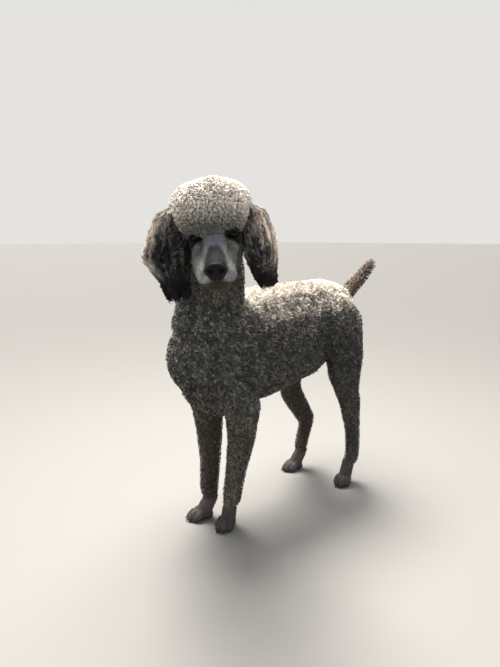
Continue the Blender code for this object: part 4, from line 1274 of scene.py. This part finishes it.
def nose_blank(grow=0.0):
    """The leather pad at the end of the muzzle."""
    wings = [spot(s * 0.0122, -0.1185, -0.0215, 0.0080) for s in SIDES.values()]
    base = [spot(s * 0.0055, -0.1190, -0.0335, 0.0075, 0.0065, 0.0065) for s in SIDES.values()]
    shell = bmesh.new()
    hull(shell, *wings, *base, spot(0.0, -0.120, -0.0225, 0.0172, 0.0090, 0.0158), grow=grow, level=4)
    return turned(shell, head_frame())


def skin_of():
    found = bpy.data.objects.get("poodle_skin")
    if found is None:
        raise RuntimeError("the skin has to be made first")
    return found


class POODLE_OT_skin(bpy.types.Operator):
    """Make the one skin of head, ears, trunk, legs, tail and paws"""

    bl_idname = "poodle.skin"
    bl_label = "Skin"

    def execute(self, context):
        head = head_skin()
        fold_face(head)
        open_eyes(head)
        open_mouth(head)
        skin = body_skin()
        combine(skin, shell_of(head), "UNION")
        for paw in paws():
            combine(skin, paw_skin(*paw), "UNION")
        skin.name = "poodle_skin"
        mark_skin(skin)
        put(skin, skin_finish(), "shaved_skin", *FLESH)
        return {"FINISHED"}


class POODLE_OT_eyes(bpy.types.Operator):
    """Make the two dark eyes"""

    bl_idname = "poodle.eyes"
    bl_label = "Eyes"

    def execute(self, context):
        finish = eye_finish()
        for side, s in SIDES.items():
            shell = ball(spot(0.0, 0.0, 0.0, EYE_RADIUS - 0.0001), level=5)
            for vert in shell.verts:
                rise = max(0.0, 1.0 - (math.hypot(vert.co.x, vert.co.z) / 0.0062) ** 2)
                if vert.co.y < 0.0:
                    vert.co.y -= 0.0009 * rise * rise
            front = [max(0.0, -vert.co.y / vert.co.length) for vert in shell.verts]
            eye = mesh_object(f"eyeball_{side}", turned(shell, gaze(s)))
            store(eye, "front", "FLOAT", front)
            put(eye, finish, "eye", f"eye_{side}")
        return {"FINISHED"}


class POODLE_OT_nose(bpy.types.Operator):
    """Make the nose leather with its two nostrils"""

    bl_idname = "poodle.nose"
    bl_label = "Nose"

    def execute(self, context):
        nose = fused("nose_pad", nose_blank(-0.0002), NOSE_VOXEL, 4)
        for s in SIDES.values():
            hole = bmesh.new()
            muscle(hole, spot(s * 0.0092, -0.1330, -0.0210, 0.0058, 0.0110, 0.0056),
                   spot(s * 0.0138, -0.1300, -0.0235, 0.0038, 0.0080, 0.0034),
                   spot(s * 0.0186, -0.1255, -0.0270, 0.0020, 0.0050, 0.0016), level=3)
            combine(nose, turned(hole, head_frame()))
        groove = bmesh.new()
        hull(groove, spot(0.0, -0.1315, -0.0250, 0.0006, 0.0030, 0.0030),
             spot(0.0, -0.1280, -0.0390, 0.0006, 0.0030, 0.0030))
        combine(nose, turned(groove, head_frame()))
        nose = fused("nose_pad", shell_of(nose), NOSTRIL_VOXEL, 3)
        put(nose, leather_finish(), "nose_leather", "nose")
        return {"FINISHED"}


class POODLE_OT_claws(bpy.types.Operator):
    """Make the claws of the four feet"""

    bl_idname = "poodle.claws"
    bl_label = "Claws"

    def execute(self, context):
        shell = bmesh.new()
        for place, turn, _ in paws():
            for x, y, _ in TOES:
                claw = bmesh.new()
                muscle(claw, *(spot(x * out, y + ahead, rise, wide * 0.8, wide, wide)
                               for out, ahead, rise, wide in CLAW))
                add_shell(shell, turned(claw, paw_frame(place, turn)))
        claws = fused("claws", shell, CLAW_VOXEL, 2)
        put(claws, claw_finish(), "nose_leather")
        return {"FINISHED"}


def coat_roots(cell, rng):
    """Roots over the whole skin, with normals, and how much of the coat grows there."""
    roots, ways = sow(skin_of(), cell, rng, SHIFT)
    q = into(hanging_frame(), roots)
    head = np.linalg.norm((q - np.array((0.0, 0.05, 0.01))) * np.array((0.95, 0.8, 1.0)), axis=1) < 0.075
    ears = (np.abs(q[:, 0]) > 0.052) & (q[:, 2] > -0.15) & (np.abs(q[:, 1] - 0.04) < 0.06)
    share = (1.0 - bare_share(roots)) * (roots[:, 2] > PAW_TOP + 0.003) * ~head * ~ears
    grown = share > 0.08
    return roots[grown], ways[grown], share[grown]


def coat_lie(roots):
    """Down and back on the trunk, down the neck and legs, out along the tail."""
    lie = np.tile(np.array((0.0, 0.55, -0.83)), (len(roots), 1))
    lie = towards(lie, (0.0, 0.05, -1.0), ramp(0.40, 0.30, roots[:, 2]))
    neck = ramp(0.50, 0.58, roots[:, 2]) * ramp(-0.12, -0.18, roots[:, 1])
    lie = towards(lie, (-0.3, 0.25, -0.9), neck)
    tail = ramp(0.25, 0.28, roots[:, 1]) * ramp(0.51, 0.53, roots[:, 2])
    return towards(lie, (0.15, 0.72, 0.68), tail)


def coat_zones(roots):
    """The roots of each piece of the coat."""
    x, y, z = roots.T
    zones = {"coat_tail": (y > 0.262) & (z > 0.515)}
    neck = (roots - np.array((0.004, -0.205, 0.535))) @ np.array((0.12, -0.46, 0.88)) > 0.0
    zones["coat_neck"] = neck & ~zones["coat_tail"]
    for side, s in SIDES.items():
        zones[f"coat_leg_front_{side}"] = (z < 0.33) & (y < -0.02) & (x * s > 0)
        zones[f"coat_leg_hind_{side}"] = (z < 0.38) & (y > 0.045) & (x * s > 0)
    rest = ~np.any(list(zones.values()), axis=0)
    steps = np.linspace(*TRUNK_SPAN, TRUNK_PIECES + 1)
    for i, (low, high) in enumerate(zip(steps, steps[1:])):
        zones[f"coat_trunk_{i + 1}"] = rest & (y >= low) & (y < high)
    return zones


def coat_chart(name, roots):
    """Where the roots of a piece of the coat lie on its map."""
    if "leg" in name:
        end, side = name.split("_")[-2:]
        chains = hind_leg_chains(side)[2:] if end == "hind" else front_leg_chains(side)[1:]
        return chart_leg(roots, [link for chain in chains for link in chain])
    if name == "coat_tail":
        return chart_round(roots, (0, 2, 1), (0.012, 0.575), (0.255, 0.40))
    if name == "coat_neck":
        return chart_round(roots, (0, 1, 2), (0.03, -0.235), (0.46, 0.72))
    return chart_round(roots, (0, 2, 1), (0.0, 0.44), TRUNK_SPAN)


def coat_length(name, roots, share):
    """The share of its whole length that the coat has: less at the paws and throat, more on the tail and
    where the legs meet the trunk."""
    height = roots[:, 2]
    full = (0.30 + 0.70 * share) * (0.55 + 0.45 * ramp(PAW_TOP, PAW_TOP + 0.030, height))
    if name == "coat_tail":
        full = full * 1.6
    elif "hind" in name:
        full = full * (1.0 + 0.9 * ramp(0.30, 0.38, height))
    elif "front" in name:
        full = full * (1.0 + 0.9 * ramp(0.26, 0.33, height))
    near = np.linalg.norm(into(head_frame(), roots) - np.array((0.0, 0.02, -0.080)), axis=1)
    return full * (1.0 - 0.45 * ramp(0.130, 0.080, near))


class POODLE_OT_coat(bpy.types.Operator):
    """Grow the short curls of trunk, neck, tail and legs"""

    bl_idname = "poodle.coat"
    bl_label = "Body coat"

    def execute(self, context):
        size = sizes()
        rng = np.random.default_rng(size.seed)
        roots, ways, share = coat_roots(size.hair_gap * COARSE, rng)
        lies = laid(ways, coat_lie(roots))
        finish = curl_finish("short curls", 0.42, 2.90)
        curls = {"width": size.hair_width, "curl": size.curl_gap}
        trunk, limb = {**TRUNK_CURL, **curls}, {**LIMB_CURL, **curls, "curl": size.curl_gap * LIMB_SPACING}
        for name, zone in coat_zones(roots).items():
            here, way = roots[zone], ways[zone]
            curl = limb if "leg" in name or name == "coat_tail" else trunk
            coat = grow_curls(name, here, way, lies[zone], curl, coat_length(name, here, share[zone]),
                              coat_chart(name, here), coat_colour(here, way), rng, sunlit_back_share(here, way))
            put(coat, finish, "body_coat")
        return {"FINISHED"}


def topknot_core():
    """The dense wool under the topknot's loose curls."""
    shell = bmesh.new()
    stations = []
    for spread, y, z, *radii in TOPKNOT:
        stations.append([spot(i * spread, y, z - TOPKNOT_FALL * abs(i), *radii)
                         for i in (-1.0, 0.0, TOPKNOT_LEFT)])
    for first, second in zip(stations, stations[1:]):
        hull(shell, *first, *second, grow=-sizes().topknot_depth, level=3)
    turned(shell, hanging_frame())
    for *place, radius in FRINGE:
        centre = head_frame() @ Vector(place)
        add_shell(shell, ball(spot(*centre, radius - FRINGE_CORE), level=3))
    return fused("topknot_wool", shell, WOOL_VOXEL, 4)


class POODLE_OT_topknot(bpy.types.Operator):
    """Grow the round topknot of loose pale curls, down to the brow"""

    bl_idname = "poodle.topknot"
    bl_label = "Topknot"

    def execute(self, context):
        size = sizes()
        rng = np.random.default_rng(size.seed + 1)
        core = topknot_core()
        points, _ = coordinates(core)
        store(core, "marking", "FLOAT_COLOR", topknot_colour(points))
        store(core, "bare", "FLOAT", np.ones(len(points)))
        roots, ways = sow(core, size.topknot_gap * COARSE, rng)
        q = into(hanging_frame(), roots)
        open_face = (q[:, 2] < -0.012) & (q[:, 1] < 0.02)
        low_nape = q[:, 2] < -0.075
        keep = ~open_face & ~low_nape
        roots, ways, q = roots[keep], ways[keep], q[keep]
        down = np.array(hanging_frame().to_3x3() @ Vector((0.0, 0.0, -1.0)))
        lies = laid(ways, np.tile(down, (len(roots), 1)) + 0.02)
        finish = curl_finish("topknot curls", 0.96, 0.50, 0.58)
        full = 1.0 - 0.45 * ramp(0.040, 0.010, q[:, 2]) * ramp(0.03, -0.01, q[:, 1])
        front, back = q[:, 1] < 0.020, q[:, 1] >= 0.075
        for name, zone in (("front", front), ("crown", ~front & ~back), ("back", back)):
            here = roots[zone]
            curl = BROW_CURL if name == "front" else CROWN_CURL
            coat = grow_curls(f"topknot_{name}", here, ways[zone], lies[zone], curl, full[zone],
                              chart_head(here), topknot_colour(here), rng)
            put(coat, finish, "topknot_coat")
        put(core, skin_finish(), "topknot_coat", "topknot")
        return {"FINISHED"}


def ear_outline(side, down):
    """Centres and half widths of an ear's hair at shares of its length."""
    centres = np.array([tuple(centre) for centre, _ in ear_spots(side)])
    radii = np.array([tuple(radius) for _, radius in ear_spots(side)])
    place = np.clip(down, 0.0, 1.0) * (len(centres) - 1)
    stations = np.arange(len(centres))
    middle = np.stack([np.interp(place, stations, centres[:, i]) for i in range(3)], axis=-1)
    wide = np.stack([np.interp(place, stations, radii[:, i]) for i in range(3)], axis=-1)
    past = np.maximum(down - 1.0, 0.0)[..., None]
    before = np.maximum(-down, 0.0)[..., None]
    middle = middle - past * np.array((0.0, 0.0, 0.09))
    middle = middle + before * np.array((-0.13 * SIDES[side], 0.0, 0.10))
    return middle, wide * np.maximum(0.35, 1.0 - 2.2 * past) * (1.0 - 1.6 * before)


def ear_paths(side, locks, hairs, steps, rng):
    """Centre lines of an ear's hair: flat locks that wave, with their hairs drawn together at the tip."""
    start = rng.uniform(EAR_START[side], 0.80, locks)
    long = rng.uniform(0.30, 0.48, locks) * (1.0 - 0.28 * np.clip(start, 0.0, 1.0))
    bearing = rng.uniform(0.0, 2.0 * np.pi, locks)
    layer = rng.uniform(0.60, 1.0, locks) ** 0.5
    wave = rng.uniform(0.0, 2.0 * np.pi, locks)
    swing = 0.0046 * rng.uniform(0.6, 1.3, locks)
    tone = rng.random(locks)
    pale = np.where(rng.random(locks) < 0.52, rng.uniform(0.40, 1.0, locks), 0.0)
    own = np.repeat(np.arange(locks), hairs)
    start, long, bearing, layer, wave, swing, tone, pale = (
        values[own][:, None] for values in (start, long, bearing, layer, wave, swing, tone, pale))
    count = len(own)
    part = np.linspace(0.0, 1.0, steps)[None, :]
    start = start + rng.normal(0.0, 0.015, (count, 1))
    down = start + long * rng.uniform(0.88, 1.08, (count, 1)) * part
    middle, wide = ear_outline(side, down)
    out = layer * (0.74 + 0.30 * np.sin(np.minimum(1.0, part * 1.8) * np.pi / 2)) - 0.12 * part ** 3
    turn = bearing + 0.12 * np.sin(wave + 3.0 * part)
    out = out * (1.0 + 0.16 * ramp(0.0, -1.0, SIDES[side] * np.cos(bearing)))
    aside = [wide[..., 0] * out * np.cos(turn), wide[..., 1] * out * np.sin(turn), 0.0 * turn]
    paths = middle + np.stack(aside, axis=-1)
    face = np.stack([np.cos(bearing), np.sin(bearing), 0.2 + 0.0 * bearing], axis=-1)
    across = np.stack([-np.sin(bearing), np.cos(bearing), 0.0 * bearing], axis=-1)
    crimp = wave + 2.0 * np.pi * (long * EAR_LENGTH / EAR_WAVE) * part + rng.normal(0.0, 0.35, (count, 1))
    bend = swing * np.minimum(1.0, 3.0 * part)
    paths = paths + across * (np.cos(crimp) * bend)[..., None]
    paths = paths + face * (np.sin(crimp) * bend * 0.8)[..., None]
    loose = (1.0 - 0.65 * part)[..., None]
    paths = paths + across * rng.normal(0.0, 0.0030, (count, 1, 1)) * loose
    paths = paths + face * rng.normal(0.0, 0.0012, (count, 1, 1)) * loose
    charts = charted(bearing[:, 0], (start[:, 0] + 0.26) / 1.12)
    # Painted highlight: a pale lock is palest on the outward crest of each wave.
    shine = pale * (0.08 + 0.92 * (0.5 + 0.5 * np.sin(crimp)) ** 2.6)
    return paths, face[:, 0], charts, 0.6 * tone[:, 0] + 0.4 * rng.random(count), shine


class POODLE_OT_ears(bpy.types.Operator):
    """Hang the long dark wavy locks of both ears"""

    bl_idname = "poodle.ears"
    bl_label = "Ears"

    def execute(self, context):
        size = sizes()
        finish = curl_finish("ear locks", 0.50, 2.2, 0.50, 0.04, 0.35)
        turn = np.array(hanging_frame().to_3x3())
        for side in SIDES:
            rng = np.random.default_rng(size.seed + (3 if side == "left" else 4))
            locks = size.ear_locks // int(COARSE ** 2)
            paths, face, charts, tone, pale = ear_paths(side, locks, LOCK_HAIRS, LOCK_STEPS, rng)
            points = out_of(hanging_frame(), paths.reshape(-1, 3))
            paths = points.reshape(paths.shape)
            widths = profile(len(paths), LOCK_STEPS, LOCK_WIDTH * COARSE, rng)
            colour = ear_colour(points, side)
            height = into(hanging_frame(), points)[:, 2]
            # Painted highlight on the waves' crests, over the upper ear.
            share = pale.ravel() * ramp(-0.090, -0.050, height)
            dark = np.minimum(colour, np.array(colours().ear_wave_highlight))
            colour = colour + (np.array(colours().ear_wave_highlight) - dark) * share[:, None]
            hair = tuft_mesh(f"ear_hair_{side}", paths, widths, widths * 0.6, unit(face @ turn.T), charts,
                             colour.reshape(paths.shape), tone)
            put(hair, finish, "ear_coat", f"ear_{side}")
        return {"FINISHED"}


class POODLE_OT_nap(bpy.types.Operator):
    """Lay the shortest hair on face, throat and feet"""

    bl_idname = "poodle.nap"
    bl_label = "Nap"

    def execute(self, context):
        size = sizes()
        rng = np.random.default_rng(size.seed + 9)
        roots, ways = sow(skin_of(), size.nap_gap * COARSE, rng, SHIFT)
        colour, bare = skin_colour(roots, ways)
        q = into(head_frame(), roots)
        x = np.abs(q[:, 0])
        eye = np.linalg.norm(from_eye(q), axis=1)
        seat = (q[:, 1] < -0.112) & (x < 0.0215) & (q[:, 2] > -0.041)
        crown = q[:, 2] > 0.012
        far = np.abs(into(hanging_frame(), roots)[:, 0]) > 0.056
        face = (bare > 0.35) & (roots[:, 2] > 0.3) & (eye > 0.0170) & ~seat & ~crown & ~far
        feet = (bare > 0.5) & (roots[:, 2] < PAW_TOP) & (roots[:, 2] > 0.0065)
        finish = curl_finish("short nap", 0.70, 1.30, 0.66, 0.02, 0.12)
        back = np.array(head_frame().to_3x3() @ Vector((0.0, 0.85, -0.35)))
        charts = {"face_nap": chart_head(roots), "feet_nap": chart_leg(roots, front_leg_chains("left")[1])}
        for name, zone, lie in (("face_nap", face, back), ("feet_nap", feet, np.array((0.0, -0.4, -0.9)))):
            here, way = roots[zone], ways[zone]
            lies = laid(way, np.tile(lie, (len(here), 1)) + 0.01)
            hair = grow_curls(name, here + way * NAP_LIFT, way, lies, NAP_CURL, np.ones(len(here)),
                              charts[name][zone], colour[zone], rng)
            put(hair, finish, "shaved_skin")
        return {"FINISHED"}


def lamp(kind, name, place, aim, power, size, colour):
    """A soft light: a round area of some width, or a far one as wide as an angle."""
    light = bpy.data.lights.new(name, kind)
    light.energy = power
    if kind == "SUN":
        light.angle = math.radians(size)
    else:
        light.shape = "DISK"
        light.size = size
    light.color = colour
    made = bpy.data.objects.new(name, light)
    made.location = place
    made.rotation_euler = (Vector(aim) - Vector(place)).to_track_quat("-Z", "Y").to_euler()
    bpy.context.scene.collection.objects.link(made)


class POODLE_OT_stage(bpy.types.Operator):
    """Lay the pale floor and set the lights and the camera"""

    bl_idname = "poodle.stage"
    bl_label = "Stage"

    def execute(self, context):
        shell = bmesh.new()
        bmesh.ops.create_grid(shell, x_segments=1, y_segments=1, size=FLOOR_SIZE)
        floor = mesh_object("floor", shell)
        floor.data.materials.append(floor_finish())
        world = bpy.data.worlds.new("studio")
        world.use_nodes = True
        nodes, links = world.node_tree.nodes, world.node_tree.links
        rise, split, fall = (nodes.new(kind) for kind in ("ShaderNodeTexCoord", "ShaderNodeSeparateXYZ",
                                                          "ShaderNodeValToRGB"))
        for stop, (place, colour) in zip(fall.color_ramp.elements, STUDIO):
            stop.position = place
            stop.color = (*colour, 1.0)
        links.new(rise.outputs["Generated"], split.inputs[0])
        links.new(split.outputs["Z"], fall.inputs[0])
        links.new(fall.outputs[0], nodes["Background"].inputs["Color"])
        context.scene.world = world
        for light in LAMPS:
            lamp(*light)
        lens = bpy.data.cameras.new("photo")
        lens.sensor_width = FILM
        lens.lens = FOCAL_PIXELS * FILM / FRAME_PIXELS
        lens.clip_start = 0.02
        camera = bpy.data.objects.new("photo", lens)
        camera.location = CAMERA_PLACE + SHIFT
        ahead = CAMERA_HEADING * math.cos(math.radians(CAMERA_DIP))
        ahead.z = -math.sin(math.radians(CAMERA_DIP))
        camera.rotation_euler = ahead.to_track_quat("-Z", "Y").to_euler()
        context.scene.collection.objects.link(camera)
        context.scene.camera = camera
        context.scene.view_settings.view_transform = "Standard"
        return {"FINISHED"}


OPERATORS = (POODLE_OT_skin, POODLE_OT_eyes, POODLE_OT_nose, POODLE_OT_claws, POODLE_OT_coat,
             POODLE_OT_topknot, POODLE_OT_ears, POODLE_OT_nap, POODLE_OT_stage)


class POODLE_PT_parts(bpy.types.Panel):
    """The poodle's pieces and sizes"""

    bl_label = "Poodle"
    bl_idname = "POODLE_PT_parts"
    bl_space_type = "VIEW_3D"
    bl_region_type = "UI"
    bl_category = "Poodle"

    def draw(self, context):
        for group in (context.scene.poodle_sizes, context.scene.poodle_colours):
            box = self.layout.box()
            for name in group.__annotations__:
                box.prop(group, name)
        for operator in OPERATORS:
            self.layout.operator(operator.bl_idname)


CLASSES = (PoodleSizes, PoodleColours, *OPERATORS, POODLE_PT_parts)


def register():
    for made in CLASSES:
        bpy.utils.register_class(made)
    bpy.types.Scene.poodle_sizes = PointerProperty(type=PoodleSizes)
    bpy.types.Scene.poodle_colours = PointerProperty(type=PoodleColours)


def unregister():
    del bpy.types.Scene.poodle_colours
    del bpy.types.Scene.poodle_sizes
    for made in reversed(CLASSES):
        bpy.utils.unregister_class(made)


def main():
    register()
    bpy.ops.poodle.skin()
    bpy.ops.poodle.eyes()
    bpy.ops.poodle.nose()
    bpy.ops.poodle.claws()
    bpy.ops.poodle.coat()
    bpy.ops.poodle.topknot()
    bpy.ops.poodle.ears()
    bpy.ops.poodle.nap()
    bpy.ops.poodle.stage()


if __name__ == "__main__":
    main()
